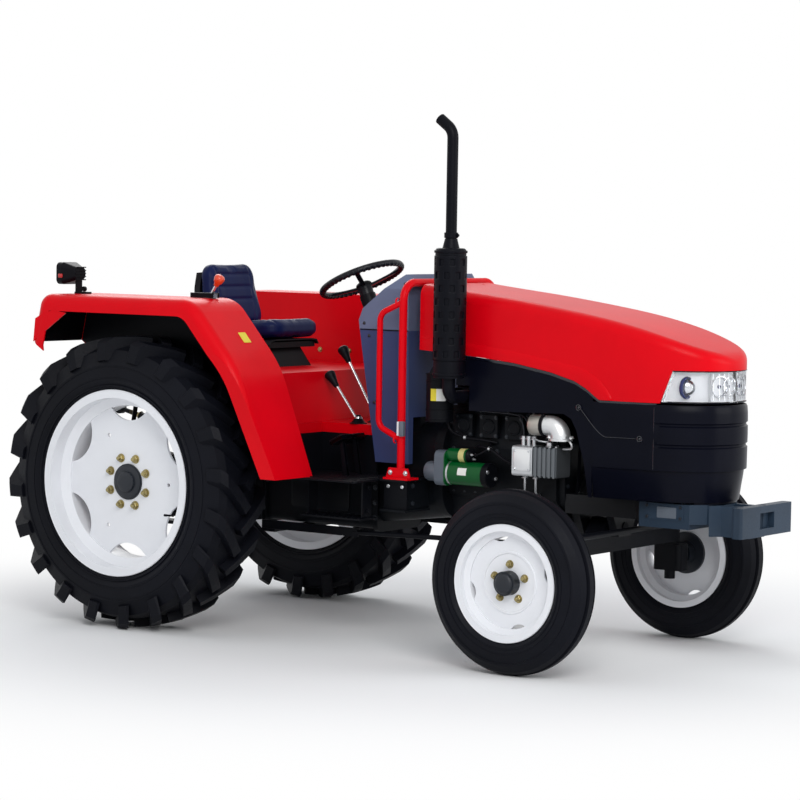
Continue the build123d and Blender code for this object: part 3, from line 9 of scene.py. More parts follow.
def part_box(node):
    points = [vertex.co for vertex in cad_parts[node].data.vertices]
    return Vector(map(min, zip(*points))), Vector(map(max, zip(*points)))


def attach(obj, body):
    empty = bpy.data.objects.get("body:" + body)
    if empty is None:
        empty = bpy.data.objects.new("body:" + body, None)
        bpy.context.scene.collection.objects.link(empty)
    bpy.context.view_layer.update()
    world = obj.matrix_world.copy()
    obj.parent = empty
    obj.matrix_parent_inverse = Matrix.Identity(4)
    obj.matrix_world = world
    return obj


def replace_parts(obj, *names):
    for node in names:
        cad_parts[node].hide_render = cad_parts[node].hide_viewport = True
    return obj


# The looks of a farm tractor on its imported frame. Metres; X forwards, Y to the driver's left, Z up.
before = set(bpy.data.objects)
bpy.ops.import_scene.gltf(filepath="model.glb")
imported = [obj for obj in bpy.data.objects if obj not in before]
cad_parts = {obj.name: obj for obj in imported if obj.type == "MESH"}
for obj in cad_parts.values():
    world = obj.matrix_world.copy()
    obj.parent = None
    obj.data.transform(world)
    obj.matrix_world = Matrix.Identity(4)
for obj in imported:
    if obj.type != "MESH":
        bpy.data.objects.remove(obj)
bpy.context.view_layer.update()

# The part's source measures from the rear axle in millimetres; the stored origin is this far ahead of it.
MIDDLE_X = 915

FORWARD, BACKWARD = Vector((1, 0, 0)), Vector((-1, 0, 0))
LEFT, RIGHT = Vector((0, 1, 0)), Vector((0, -1, 0))
UP = Vector((0, 0, 1))
SIDES = ((1, "left"), (-1, "right"))


def at(x, y, z):
    """A point given in millimetres from the rear axle and the ground, as a point in the scene."""
    return Vector(((x - MIDDLE_X) / 1000, y / 1000, z / 1000))


# Materials.


def feed(tree, node, inputs):
    """Sets a node's inputs: a link where another node's output is given, else a plain value."""
    for name, value in inputs.items():
        if isinstance(value, bpy.types.NodeSocket):
            tree.links.new(value, node.inputs[name])
        else:
            node.inputs[name].default_value = value


def add_node(tree, kind, inputs=None):
    """A new node of a kind, with its inputs set."""
    node = tree.nodes.new("ShaderNode" + kind)
    feed(tree, node, inputs or {})
    return node


def new_material(name):
    """An empty node material, with its tree and its shader."""
    mat = bpy.data.materials.new(name)
    mat.use_nodes = True
    return mat, mat.node_tree, mat.node_tree.nodes["Principled BSDF"]


def object_place(tree):
    """The place on the object that is shaded, in metres."""
    return add_node(tree, "TexCoord").outputs["Object"]


def noise(tree, scale, detail=5.0, rough=0.6):
    """A noise value that stays on the object."""
    inputs = {"Vector": object_place(tree), "Scale": scale, "Detail": detail, "Roughness": rough}
    return add_node(tree, "TexNoise", inputs).outputs["Fac"]


def ramp(tree, value, stops, interpolation="LINEAR"):
    """A colour ramp on a value; each stop is a place and a colour."""
    node = add_node(tree, "ValToRGB", {"Fac": value})
    node.color_ramp.interpolation = interpolation
    elements = node.color_ramp.elements
    while len(elements) < len(stops):
        elements.new(0.5)
    for element, (place, colour) in zip(elements, stops):
        element.position = place
        element.color = (*colour, 1)
    return node.outputs["Color"]


def spread(tree, value, from_low, from_high, low=0.0, high=1.0):
    """A value mapped from one range to another."""
    inputs = {"Value": value, "From Min": from_low, "From Max": from_high, "To Min": low, "To Max": high}
    return add_node(tree, "MapRange", inputs).outputs["Result"]


def finish(name, base, rough, metal=0.0, coat=0.0, specular=0.5, grain=90, bumpiness=0.0, bump_m=0.0004,
           coat_rough=0.06):
    """A finish with uneven gloss and a fine grain; base makes its colour in the node tree."""
    mat, tree, shader = new_material(name)
    fine = noise(tree, grain)
    feed(tree, shader, {
        "Base Color": base(tree),
        "Roughness": spread(tree, fine, 0.3, 0.7, rough * 0.85, min(1.0, rough * 1.2)),
        "Metallic": metal,
        "Specular IOR Level": specular,
        "Coat Weight": coat,
        "Coat Roughness": coat_rough,
    })
    if bumpiness:
        bump = add_node(tree, "Bump", {"Strength": bumpiness, "Distance": bump_m, "Height": fine})
        feed(tree, shader, {"Normal": bump.outputs["Normal"]})
    return mat


def surface(name, colour, rough, vary=0.12, **looks):
    """A finish in one colour that drifts by a share of itself."""
    def base(tree):
        stops = [(place, [min(1.0, c * factor) for c in colour])
                 for place, factor in ((0.32, 1 - vary), (0.68, 1 + vary))]
        return ramp(tree, noise(tree, 2.2), stops)

    return finish(name, base, rough, **looks)


def zoned(name, axis, low, high, zones, rough, bumpiness=0.1, **looks):
    """A finish whose colour changes at stations or heights of the part, given in metres along an axis."""
    def base(tree):
        split = add_node(tree, "SeparateXYZ", {"Vector": object_place(tree)})
        place = spread(tree, split.outputs[axis], low, high)
        stops = [((start - low) / (high - low), colour) for start, colour in zones]
        drift = ramp(tree, noise(tree, 3.0), [(0.3, (0.86, 0.86, 0.86)), (0.7, (1, 1, 1))])
        mix = add_node(tree, "Mix")
        mix.data_type = "RGBA"
        mix.blend_type = "MULTIPLY"
        feed(tree, mix, {"Factor": 1.0, "A": ramp(tree, place, stops, "CONSTANT"), "B": drift})
        return mix.outputs["Result"]

    return finish(name, base, rough, bumpiness=bumpiness, bump_m=0.0005, coat_rough=0.03, **looks)


RED = (0.70, 0.0, 0.006)
BLACK = (0.0035, 0.004, 0.006)
GREEN = (0.0, 0.085, 0.016)
GREY_IRON = (0.11, 0.13, 0.16)
BLUE_GREY = (0.020, 0.036, 0.060)
red_paint = surface("red enamel", RED, 0.34, coat=0.02, vary=0.07, grain=420, bumpiness=0.04, bump_m=0.0002,
                    specular=0.10)
white_paint = surface("white enamel", (0.80, 0.81, 0.84), 0.36, coat=0.15, vary=0.03, grain=300,
                      bumpiness=0.05)
black_paint = surface("black enamel", BLACK, 0.4, vary=0.25, grain=240, bumpiness=0.08, specular=0.09)
nose_black = surface("black nose moulding", (0.0025, 0.003, 0.0075), 0.3, vary=0.2, grain=600, bumpiness=0.05,
                     bump_m=0.0002, specular=0.075)
gloss_black = surface("gloss black bead", (0.003, 0.004, 0.010), 0.16, coat=0.25, vary=0.1, grain=300)
casting_black = surface("black engine casting", (0.004, 0.005, 0.007), 0.42, vary=0.4, grain=160,
                        bumpiness=0.35, bump_m=0.0009, specular=0.10)
blue_casting = surface("blue grey casting", BLUE_GREY, 0.45, vary=0.25, grain=150, bumpiness=0.3,
                       bump_m=0.0008, specular=0.25)
console_grey = zoned("blue grey console", "Z", 0.7, 1.5,
                     [(0.7, (0.042, 0.062, 0.165)), (1.253, (0.135, 0.165, 0.265))], 0.42, grain=220,
                     specular=0.22, bumpiness=0.06)
platform_paint = zoned("platform enamel", "Z", 0.4, 1.2, [(0.4, BLACK), (0.82, RED)], 0.38, coat=0.04,
                       grain=220, specular=0.10, bumpiness=0.05)
starter_paint = zoned("starter enamel", "X", 0.30, 0.60, [(0.30, GREY_IRON), (0.371, GREEN), (0.553, BLACK)],
                      0.34, coat=0.1, grain=220, specular=0.2)
pump_finish = zoned("pump casting", "X", 0.68, 0.92,
                    [(0.68, (0.66, 0.68, 0.70)), (0.79, (0.17, 0.185, 0.20))], 0.36, metal=0.75, grain=220,
                    bumpiness=0.2)
controls_finish = zoned("lever plating", "Z", 0.6, 1.5, [(0.6, BLACK), (0.88, (0.75, 0.76, 0.78))], 0.16,
                        metal=0.9, grain=220, bumpiness=0.03)
support_finish = zoned("front casting", "X", 0.8, 1.6, [(0.8, BLACK), (1.223, BLUE_GREY)], 0.45,
                       grain=150, specular=0.25, bumpiness=0.3)
aluminium = surface("die cast aluminium", (0.70, 0.71, 0.72), 0.32, metal=0.85, vary=0.10, grain=220,
                    bumpiness=0.15, bump_m=0.0005)
brushed = surface("brushed casting", (0.44, 0.42, 0.38), 0.36, metal=0.9, vary=0.25, grain=260,
                  bumpiness=0.15)
exhaust_black = surface("heat resistant black", (0.0025, 0.0028, 0.0055), 0.42, vary=0.25, grain=380,
                        bumpiness=0.12, specular=0.09)
dark_iron = surface("dark hub iron", (0.010, 0.013, 0.019), 0.42, vary=0.15, grain=200, bumpiness=0.15,
                    specular=0.4)
grey_iron = surface("grey iron", GREY_IRON, 0.4, vary=0.25, grain=180, bumpiness=0.2)
dark_plastic = surface("black moulding", (0.004, 0.004, 0.006), 0.4, vary=0.1, grain=700, bumpiness=0.12,
                       bump_m=0.0002, specular=0.09)
wheel_grip = surface("steering wheel grip", (0.004, 0.0045, 0.008), 0.3, vary=0.1, grain=500, bumpiness=0.05,
                     bump_m=0.0002, specular=0.22)
rubber = surface("tyre rubber", (0.004, 0.0045, 0.0075), 0.5, vary=0.3, grain=130, bumpiness=0.28,
                 bump_m=0.0008, specular=0.10)
chrome = surface("bright plate", (0.75, 0.76, 0.78), 0.12, metal=1.0, vary=0.03, grain=300)
zinc = surface("yellow zinc plate", (0.36, 0.30, 0.14), 0.34, metal=0.85, vary=0.25, grain=160, bumpiness=0.1)
steel = surface("bright steel", (0.55, 0.56, 0.58), 0.3, metal=0.9, vary=0.15, grain=260, bumpiness=0.08)
vinyl = surface("navy vinyl", (0.003, 0.008, 0.052), 0.4, vary=0.2, grain=330, bumpiness=0.3, specular=0.12)
radiator_black = surface("radiator core", (0.012, 0.012, 0.014), 0.6, vary=0.2, grain=300, bumpiness=0.4,
                         specular=0.2)
tag_yellow = surface("plain yellow tag", (0.80, 0.66, 0.03), 0.4, vary=0.03, grain=300, bumpiness=0.03)
tag_cream = surface("cream band", (0.62, 0.56, 0.22), 0.4, vary=0.06, grain=300, bumpiness=0.03)
tag_white = surface("plain white tag", (0.82, 0.82, 0.78), 0.4, vary=0.03, grain=300, bumpiness=0.03)
lamp_navy = surface("navy reflector ring", (0.010, 0.022, 0.11), 0.2, vary=0.15, grain=200)
orange_red = surface("orange red knob", (0.72, 0.055, 0.012), 0.3, coat=0.2, vary=0.05, grain=400,
                     bumpiness=0.03)
red_lens = surface("red lens", (0.45, 0.004, 0.004), 0.15, coat=0.4, vary=0.08, grain=200, bumpiness=0.15)

lens_glass, glass_tree, glass_shader = new_material("clear lamp lens")
feed(glass_tree, glass_shader, {
    "Roughness": spread(glass_tree, noise(glass_tree, 160, 4.0, 0.55), 0.3, 0.7, 0.02, 0.06),
    "Base Color": (0.97, 0.985, 1.0, 1),
    "Transmission Weight": 0.95,
    "IOR": 1.18,
})

FINISHES = {
    red_paint: ("fenders", "hood", "guard_frame"),
    platform_paint: ("platform",),
    white_paint: ("rear_rim_left", "rear_rim_right", "front_rim_left", "front_rim_right"),
    rubber: ("rear_tyre_left", "rear_tyre_right", "front_tyre_left", "front_tyre_right"),
    dark_iron: ("rear_hub_left", "rear_hub_right", "front_hub_left", "front_hub_right"),
    black_paint: ("knuckle_left", "knuckle_right", "tie_rod", "pitman_arm", "drag_link", "front_axle",
                  "air_cleaner", "fan", "radius_rods", "seat_base", "lift_arms", "lift_rods", "lower_links",
                  "top_link", "drawbar"),
    support_finish: ("front_support",),
    blue_casting: ("tow_plate",),
    casting_black: ("engine_block", "cylinder_head", "transmission"),
    starter_paint: ("starter_motor",),
    pump_finish: ("injection_pump",),
    aluminium: ("intake_elbow",),
    exhaust_black: ("exhaust",),
    radiator_black: ("radiator",),
    vinyl: ("seat",),
    nose_black: ("nose_grille", "side_panels"),
    lens_glass: ("headlamps",),
    console_grey: ("console",),
    dark_plastic: ("steering_column", "work_lamp"),
    wheel_grip: ("steering_wheel",),
    controls_finish: ("controls",),
}
for paint, names in FINISHES.items():
    for name in names:
        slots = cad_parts[name].data.materials
        slots.clear()
        slots.append(paint)

# Shapes. Each one is added to a mesh; sizes are millimetres and places are points of the scene.


def add_object(name, data):
    """A new object of the scene."""
    obj = bpy.data.objects.new(name, data)
    bpy.context.scene.collection.objects.link(obj)
    return obj


def mesh_object(name, bm):
    """An object of a mesh that was built, with its faces turned outwards."""
    bmesh.ops.recalc_face_normals(bm, faces=bm.faces)
    mesh = bpy.data.meshes.new(name)
    bm.to_mesh(mesh)
    bm.free()
    return add_object(name, mesh)


def finish_piece(name, bm, material, body="chassis", smooth=0.6):
    """Makes a piece of a mesh, smooth but for its sharp edges, riding on a body."""
    obj = mesh_object(name, bm)
    obj.data.materials.append(material)
    obj.data.shade_smooth()
    obj.data.set_sharp_from_angle(angle=smooth)
    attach(obj, body)
    return obj


@contextmanager
def piece(name, material, body="chassis", smooth=0.6):
    """An empty mesh to add shapes to; where the block ends, it becomes a piece of the tractor."""
    bm = bmesh.new()
    yield bm
    finish_piece(name, bm, material, body, smooth)


def loft(bm, rings):
    """Joins closed rings of points, in order, and closes the ends."""
    rows = [[bm.verts.new(p) for p in ring] for ring in rings]
    for low, high in zip(rows, rows[1:]):
        for i in range(len(low)):
            j = (i + 1) % len(low)
            bm.faces.new((low[i], low[j], high[j], high[i]))
    bm.faces.new(list(reversed(rows[0])))
    bm.faces.new(rows[-1])


def frame_of(direction):
    """Two unit vectors square to a direction."""
    d = Vector(direction).normalized()
    side = d.cross(UP if abs(d.z) < 0.9 else FORWARD).normalized()
    return side, d.cross(side)


def circle(centre, direction, along, radius, sides, turn=0.0):
    """Points round an axis, at a distance along it."""
    d = Vector(direction).normalized()
    u, v = frame_of(d)
    angles = [turn + 2 * pi * i / sides for i in range(sides)]
    return [centre + (d * along + (u * cos(a) + v * sin(a)) * radius) / 1000 for a in angles]


def add_round(bm, centre, direction, profile, sides=24):
    """A turned shape; its profile lists distances along the direction with radii."""
    loft(bm, [circle(centre, direction, along, radius, sides) for along, radius in profile])


def add_ring(bm, centre, direction, section, sides=96):
    """A closed section of distances along a direction with radii, turned round it, open in the middle."""
    loops = [circle(centre, direction, along, radius, sides) for along, radius in section]
    rows = [[bm.verts.new(p) for p in points] for points in zip(*loops)]
    for low, high in zip(rows, rows[1:] + rows[:1]):
        for j in range(len(section)):
            k = (j + 1) % len(section)
            bm.faces.new((low[j], low[k], high[k], high[j]))


def add_hex(bm, centre, direction, radius, height, turn=0.0):
    """A bolt head or nut: a washer face, then a hexagon with chamfered corners."""
    washer = height * 0.18
    add_round(bm, centre, direction, [(0, radius * 1.28), (washer, radius * 1.25)], 20)
    levels = ((washer, radius), (height * 0.88, radius), (height, radius * 0.86))
    loft(bm, [circle(centre, direction, h, r, 6, turn) for h, r in levels])


def hexes(bm, spots, direction, radius, height):
    """A bolt head at each of a list of places, given in millimetres from the rear axle and the ground."""
    for n, spot in enumerate(spots):
        add_hex(bm, at(*spot), direction, radius, height, 0.4 * n)


def add_tube(bm, path, radius, sides=12):
    """A round bar along points, kept square to its path."""
    rings = []
    side = frame_of(path[1] - path[0])[0]
    for i, p in enumerate(path):
        ahead = (path[min(i + 1, len(path) - 1)] - path[max(i - 1, 0)]).normalized()
        side = (side - ahead * side.dot(ahead)).normalized()
        other = ahead.cross(side)
        angles = [2 * pi * k / sides for k in range(sides)]
        rings.append([p + (side * cos(a) + other * sin(a)) * radius / 1000 for a in angles])
    loft(bm, rings)


def smooth_path(points, steps):
    """Points along a smooth curve through the given ones."""
    pts = [Vector(p) for p in points]
    pts = [pts[0] * 2 - pts[1]] + pts + [pts[-1] * 2 - pts[-2]]
    out = []
    for a, b, c, d in zip(pts, pts[1:], pts[2:], pts[3:]):
        for t in [s / steps for s in range(steps)]:
            out.append(0.5 * (2 * b + (c - a) * t + (2 * a - 5 * b + 4 * c - d) * t * t
                              + (3 * b - a - 3 * c + d) * t ** 3))
    return out + [pts[-2]]


def add_hose(bm, points, radius, sides=12, steps=6):
    """A bent tube through points given in millimetres from the rear axle and the ground."""
    add_tube(bm, smooth_path([at(*p) for p in points], steps), radius, sides)


def add_prism(bm, outline, low, high):
    """A flat outline of points, given a thickness from a low offset to a high one."""
    loft(bm, [[p + Vector(low) for p in outline], [p + Vector(high) for p in outline]])


def rounded(width, height, radius, steps=5):
    """A rounded rectangle about the origin, in millimetres."""
    out = []
    across, up = width / 2 - radius, height / 2 - radius
    for cx, cy, start in ((1, 1, 0), (-1, 1, 90), (-1, -1, 180), (1, -1, 270)):
        for i in range(steps + 1):
            a = radians(start + 90 * i / steps)
            out.append((cx * across + radius * cos(a), cy * up + radius * sin(a)))
    return out


def add_plate(bm, centre, u, v, width, height, radius, thick, crown=0.0):
    """A rounded plate standing out of a surface; u and v are its width and height directions."""
    u, v = Vector(u).normalized(), Vector(v).normalized()
    n = u.cross(v)
    outline = rounded(width, height, radius)
    levels = [(outline, 0), (outline, thick)]
    if crown:
        inner = rounded(width - 2 * crown, height - 2 * crown, max(radius - crown, 1))
        levels.append((inner, thick + crown * 0.6))
    loft(bm, [[centre + (u * a + v * b + n * h) / 1000 for a, b in points] for points, h in levels])

# Wheels: rings on the tyres, nuts on their studs, hub caps, and rolled lines and weld beads on the rims.
REAR_Y, REAR_Z = 635, 602
FRONT_X, FRONT_Y, FRONT_Z = 1880, 645, 350
WHEELS = {
    "rear": {
        "centre": (0, REAR_Y, REAR_Z),
        # Radius, distance from the tyre's middle, and half width.
        "rings": ((400, 136.4, 3), (432, 141.4, 2.4), (478, 138.5, 2.2)),
        # Count, first angle, radius of their circle, station, and each nut's radius and height.
        "nuts": (8, pi / 8, 103, 41, 14.6, 14),
        "stud": ([(0, 8.2), (9, 8.2), (11, 7)], 14),
        "cap": (45.5, [(0, 70), (3, 70), (6, 66), (7, 44), (16, 42), (19, 36), (20, 18)], 40),
        "lines": (([(127, 383.5), (130.6, 383.5), (132.6, 381), (130.6, 377.5), (127, 377.5)], 96),
                  ([(72, 371), (74, 367), (78, 366), (82, 368), (84, 371)], 96)),
    },
    "front": {
        "centre": (FRONT_X, FRONT_Y, FRONT_Z),
        "rings": ((246, 72.2, 2.2), (262, 74.6, 1.8), (298, 69.0, 1.8)),
        "nuts": (5, pi / 2, 70, 20, 12.6, 12),
        "stud": ([(0, 7.4), (8, 7.4), (9.5, 6.2)], 12),
        "cap": (59, [(0, 40), (2, 40), (8, 37), (12, 30), (14, 16)], 32),
        "lines": (([(58.5, 223), (61.5, 223), (63.5, 221), (61.5, 218), (58.5, 218)], 80),
                  ([(19.5, 108), (24, 111), (24, 117), (19.5, 120)], 64)),
    },
}


def dress_wheel(size, side, side_name):
    """The small pieces on one wheel."""
    wheel = WHEELS[size]
    body = f"{size}_wheel_{side_name}"
    x, y, z = wheel["centre"]
    centre = at(x, side * y, z)
    out = LEFT * side
    with piece(f"{size}_tyre_rings_{side_name}", rubber, body) as bm:
        for face in (1, -1):
            for radius, along, wide in wheel["rings"]:
                top, base = face * (along + 2.0), face * (along - 7)
                add_ring(bm, centre, out, [(base, radius - wide * 1.6), (top, radius - wide * 0.7),
                                           (top, radius + wide * 0.7), (base, radius + wide * 1.6)])
    count, first, reach, station, radius, height = wheel["nuts"]
    with piece(f"{size}_nuts_{side_name}", zinc, body) as bm:
        for i in range(count):
            a = first + 2 * pi * i / count
            spot = centre + (Vector((cos(a), 0, sin(a))) * reach + out * station) / 1000
            add_hex(bm, spot, out, radius, height, turn=a)
            add_round(bm, spot + out * (height - 1) / 1000, out, *wheel["stud"])
    station, profile, sides = wheel["cap"]
    with piece(f"{size}_cap_{side_name}", dark_iron, body) as bm:
        add_round(bm, centre + out * station / 1000, out, profile, sides)
    with piece(f"{size}_rim_lines_{side_name}", white_paint, body) as bm:
        for section, sides in wheel["lines"]:
            add_ring(bm, centre, out, section, sides)


for side, side_name in SIDES:
    for size in WHEELS:
        dress_wheel(size, side, side_name)
    with piece(f"rear_valve_{side_name}", dark_plastic, f"rear_wheel_{side_name}") as valve:
        foot = at(0, side * (REAR_Y + 95), REAR_Z) + Vector((0.29, 0, -0.115))
        add_round(valve, foot, (-0.25, side * 0.95, 0.1),
                  [(0, 5), (6, 5), (6.5, 4), (32, 4), (33, 5), (45, 5)], 12)

# Seat.
VOXEL_M = 0.006
CLOTH_FRAMES = 20
MOST_PUFF_M = 0.009
# Half width and depth in millimetres of the sewn channels, and of the seam along each side.
CHANNEL, SEAM = (13, 7.0), (9, 5.0)
# How far a pad's edge lies inside its outline at shares of its thickness.
PAD_EDGE = ((0.0, 16), (0.12, 5), (0.3, 0), (0.7, 0), (0.88, 6), (1.0, 20))
# The seams stop this far from the pad's ends.
SEAM_END = 18


def apply_modifiers(obj):
    """Bakes an object's modifiers into its mesh."""
    graph = bpy.context.evaluated_depsgraph_get()
    result = bpy.data.meshes.new_from_object(obj.evaluated_get(graph))
    old = obj.data
    obj.modifiers.clear()
    obj.data = result
    bpy.data.meshes.remove(old)


def blow_up(obj):
    """Fills a closed form like a cushion, with the cloth simulation."""
    rest = [v.co.copy() for v in obj.data.vertices]
    cloth = obj.modifiers.new("cloth", "CLOTH")
    cloth.settings.use_pressure = True
    cloth.settings.uniform_pressure_force = 4
    cloth.settings.effector_weights.gravity = 0
    cloth.settings.quality = 5
    cloth.point_cache.frame_end = CLOTH_FRAMES + 2
    for step in range(1, CLOTH_FRAMES + 1):
        bpy.context.scene.frame_set(step)
    apply_modifiers(obj)
    for vert, old in zip(obj.data.vertices, rest):
        move = vert.co - old
        if move.length > MOST_PUFF_M:
            vert.co = old + move.normalized() * MOST_PUFF_M
    bpy.context.scene.frame_set(1)


def groove(gap, size):
    """The depth of a groove at a distance from its stitch line."""
    reach, depth = size
    return depth * (1 - gap / reach) ** 1.5 if gap < reach else 0.0


def cushion(name, outline, thick, place, lean, ribs, channels, flare=0.0, crown=0.0):
    """A soft pad: a rounded form blown up as cloth, then sewn into channels across its face."""
    bm = bmesh.new()
    rings = []
    width, height, radius = outline
    for share, inset in PAD_EDGE:
        pts = rounded(width - 2 * inset, height - 2 * inset, radius - inset * 0.6, 7)
        rings.append([Vector((a * (1 + flare * b / height) / 1000, b / 1000, (share - 0.5) * thick / 1000))
                      for a, b in pts])
    loft(bm, rings)
    obj = mesh_object(name, bm)
    remesh = obj.modifiers.new("remesh", "REMESH")
    remesh.mode = "VOXEL"
    remesh.voxel_size = VOXEL_M
    apply_modifiers(obj)
    blow_up(obj)
    for vert in obj.data.vertices:
        x, y, z = vert.co * 1000
        if z <= 0:
            continue
        top = min(1.0, z / (thick * 0.35))
        depths = [0.0]
        if abs(x) < ribs:
            depths += [groove(abs(y - line), CHANNEL) for line in channels]
        if abs(y) < height / 2 - SEAM_END:
            depths.append(groove(abs(abs(x) - ribs), SEAM))
        vert.co.z -= max(depths) * top / 1000
        vert.co.z += crown * top * max(0.0, (abs(x) - ribs * 0.6) / (width / 2)) / 1000
    smooth = obj.modifiers.new("smooth", "SUBSURF")
    smooth.levels = 1
    smooth.render_levels = 1
    apply_modifiers(obj)
    turn = Matrix.Rotation(radians(lean), 4, "Y") @ Matrix.Rotation(radians(-90), 4, "Z")
    obj.data.transform(Matrix.Translation(place) @ turn)
    obj.data.materials.append(vinyl)
    obj.data.shade_smooth()
    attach(obj, "chassis")
    return obj


seat_pad = cushion("seat_cushion", (356, 338, 78), 60, at(190, 0, 1220), -5, 130, (-84, -28, 28, 84), crown=9)
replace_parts(seat_pad, "seat")
cushion("seat_back", (340, 278, 52), 50, at(-24, 0, 1362), 78, 112, (-84, -30, 24), flare=0.16, crown=12)

# The pan under the cushion and the shell behind the back, in one sheet that gets wider and narrower.
SHELL_LINE = ((330, 1178), (180, 1174), (20, 1180), (-40, 1212), (-58, 1300), (-74, 1390), (-84, 1458))
SHELL_WIDTHS = (165, 175, 178, 176, 168, 158, 132)
# One half of its section: distance from its edge and height, along the front face and back along the rear.
SHELL_SECTION = ((0, -16), (-12, -1), (-40, 3), (5, -14), (-9, 5), (-40, 9))
path = smooth_path([at(x, 0, z) for x, z in SHELL_LINE], 6)
rings = []
for i, p in enumerate(path):
    ahead = (path[min(i + 1, len(path) - 1)] - path[max(i - 1, 0)]).normalized()
    up = LEFT.cross(ahead)
    share = i / (len(path) - 1) * (len(SHELL_WIDTHS) - 1)
    k = min(int(share), len(SHELL_WIDTHS) - 2)
    half = SHELL_WIDTHS[k] + (SHELL_WIDTHS[k + 1] - SHELL_WIDTHS[k]) * (share - k)
    front, rear = [[(half + y, h) for y, h in SHELL_SECTION[n:n + 3]] for n in (0, 3)]
    section = [(-y, h) for y, h in front] + front[::-1] + rear + [(-y, h) for y, h in rear[::-1]]
    rings.append([p + Vector((0, y / 1000, 0)) + up * h / 1000 for y, h in section])
with piece("seat_shell", dark_plastic) as shell:
    loft(shell, rings)

# Nose and lamps. The outline gives the hood's half width at stations.
NOSE_OUTLINE = ((1850, 262), (1976, 260), (2100, 252), (2200, 240), (2290, 225), (2360, 192), (2420, 140),
                (2445, 90), (2458, 45), (2462, 0))
right_half = [(x, -y, 0) for x, y in NOSE_OUTLINE]
NOSE_PATH = smooth_path(right_half + [(x, -y, 0) for x, y, _ in reversed(right_half[:-1])], 6)
LAMP_BODY = "hood"
# Where a lamp starts at its lower and upper edge, and where it ends beside the nose's middle.
LAMP_LOW, LAMP_HIGH, LAMP_END = 0.199, 0.232, 0.488
BOWLS = ((0.388, 40), (0.449, 36))
BOWL_Z = 1088
BOWL_PROFILE = ((0, 0.34), (5, 0.62), (13, 0.86), (24, 1.0), (27, 1.03), (27.5, 0.97), (15, 0.82), (7, 0.58),
                (3, 0.3))


def nose_point(share, inset, z):
    """A point round the nose, from the right side to the left, moved inwards, and its way out."""
    k = min(max(share, 0.0), 1.0) * (len(NOSE_PATH) - 1)
    i = min(int(k), len(NOSE_PATH) - 2)
    ahead = (NOSE_PATH[i + 1] - NOSE_PATH[i]).normalized()
    out = Vector((ahead.y, -ahead.x, 0))
    p = NOSE_PATH[i].lerp(NOSE_PATH[i + 1], k - i) - out * inset
    return at(p.x, p.y, z), out


def lamp_point(side, share, inset, z):
    """A point on one side's lamp; the shares run from the tractor's side to the nose's middle."""
    return nose_point(share if side < 0 else 1 - share, inset, z)


def lamp_edge(side, start, inset, z, steps):
    """Points along a lamp's lower or upper edge, each with its way out."""
    return [lamp_point(side, start + (LAMP_END - start) * i / steps, inset, z) for i in range(steps + 1)]


for side, side_name in SIDES:
    with piece(f"lamp_back_{side_name}", white_paint, LAMP_BODY) as back:
        edges = zip(lamp_edge(side, LAMP_LOW, 22, 1030, 28), lamp_edge(side, LAMP_HIGH, 26, 1142, 28))
        loft(back, [[low, low - out * 0.003, high - out * 0.003, high] for (low, out), (high, _) in edges])
    with piece(f"lamp_bowls_{side_name}", chrome, LAMP_BODY) as bowls:
        for share, radius in BOWLS:
            spot, out = lamp_point(side, share, 10, BOWL_Z)
            profile = [(along, radius * k) for along, k in BOWL_PROFILE]
            add_round(bowls, spot - out * 0.030, out, profile, 32)
        for i in range(5):
            share = 0.352 + 0.124 * i / 4
            rib = [lamp_point(side, share, inset, z)[0] for inset, z in ((14, 1036), (20, 1136))]
            add_tube(bowls, rib, 1.6, 8)
        spot, out = lamp_point(side, 0.272, 12, 1084)
        add_round(bowls, spot - out * 0.012, out, [(0, 30), (8, 30), (15, 25), (19, 17), (21, 8)], 32)
    # The ring round the projector faces the front, like the bowls.
    ahead = lamp_point(side, LAMP_END, 0, BOWL_Z)[1]
    with piece(f"lamp_ring_{side_name}", lamp_navy, LAMP_BODY) as rim:
        add_ring(rim, spot - ahead * 0.010, ahead,
                 [(0, 31), (10, 32), (14, 36), (14, 41), (8, 43), (0, 40)], 40)
    with piece(f"lamp_post_{side_name}", steel, LAMP_BODY) as post:
        add_tube(post, [lamp_point(side, 0.334, 9, 1032)[0], lamp_point(side, 0.334, 12, 1141)[0]], 3.4, 10)
    with piece(f"lamp_bulbs_{side_name}", lamp_navy, LAMP_BODY) as bulbs:
        for share, _ in BOWLS:
            spot, out = lamp_point(side, share, 12, BOWL_Z)
            add_round(bulbs, spot - out * 0.026, out, [(0, 9), (12, 9), (17, 7.2), (20, 3.15)], 20)
    # Thin gaskets along each lens.
    with piece(f"lamp_seal_{side_name}", nose_black, LAMP_BODY) as seal:
        for start, z, radius in ((LAMP_LOW, 1026.5, 2.2), (LAMP_HIGH, 1146, 2.0)):
            add_tube(seal, [p for p, _ in lamp_edge(side, start, 1.5, z, 24)], radius, 8)

# Exhaust: a sheet with staggered slots round the muffler, and clamp bands.
MUFFLER = (1370, -352)
SHIELD_RADIUS, SHIELD_LOW, SHIELD_HIGH = 64.5, 1150, 1560
SHIELD_START, SHIELD_TURN = -215, 250
COLUMNS, ROWS = 60, 96
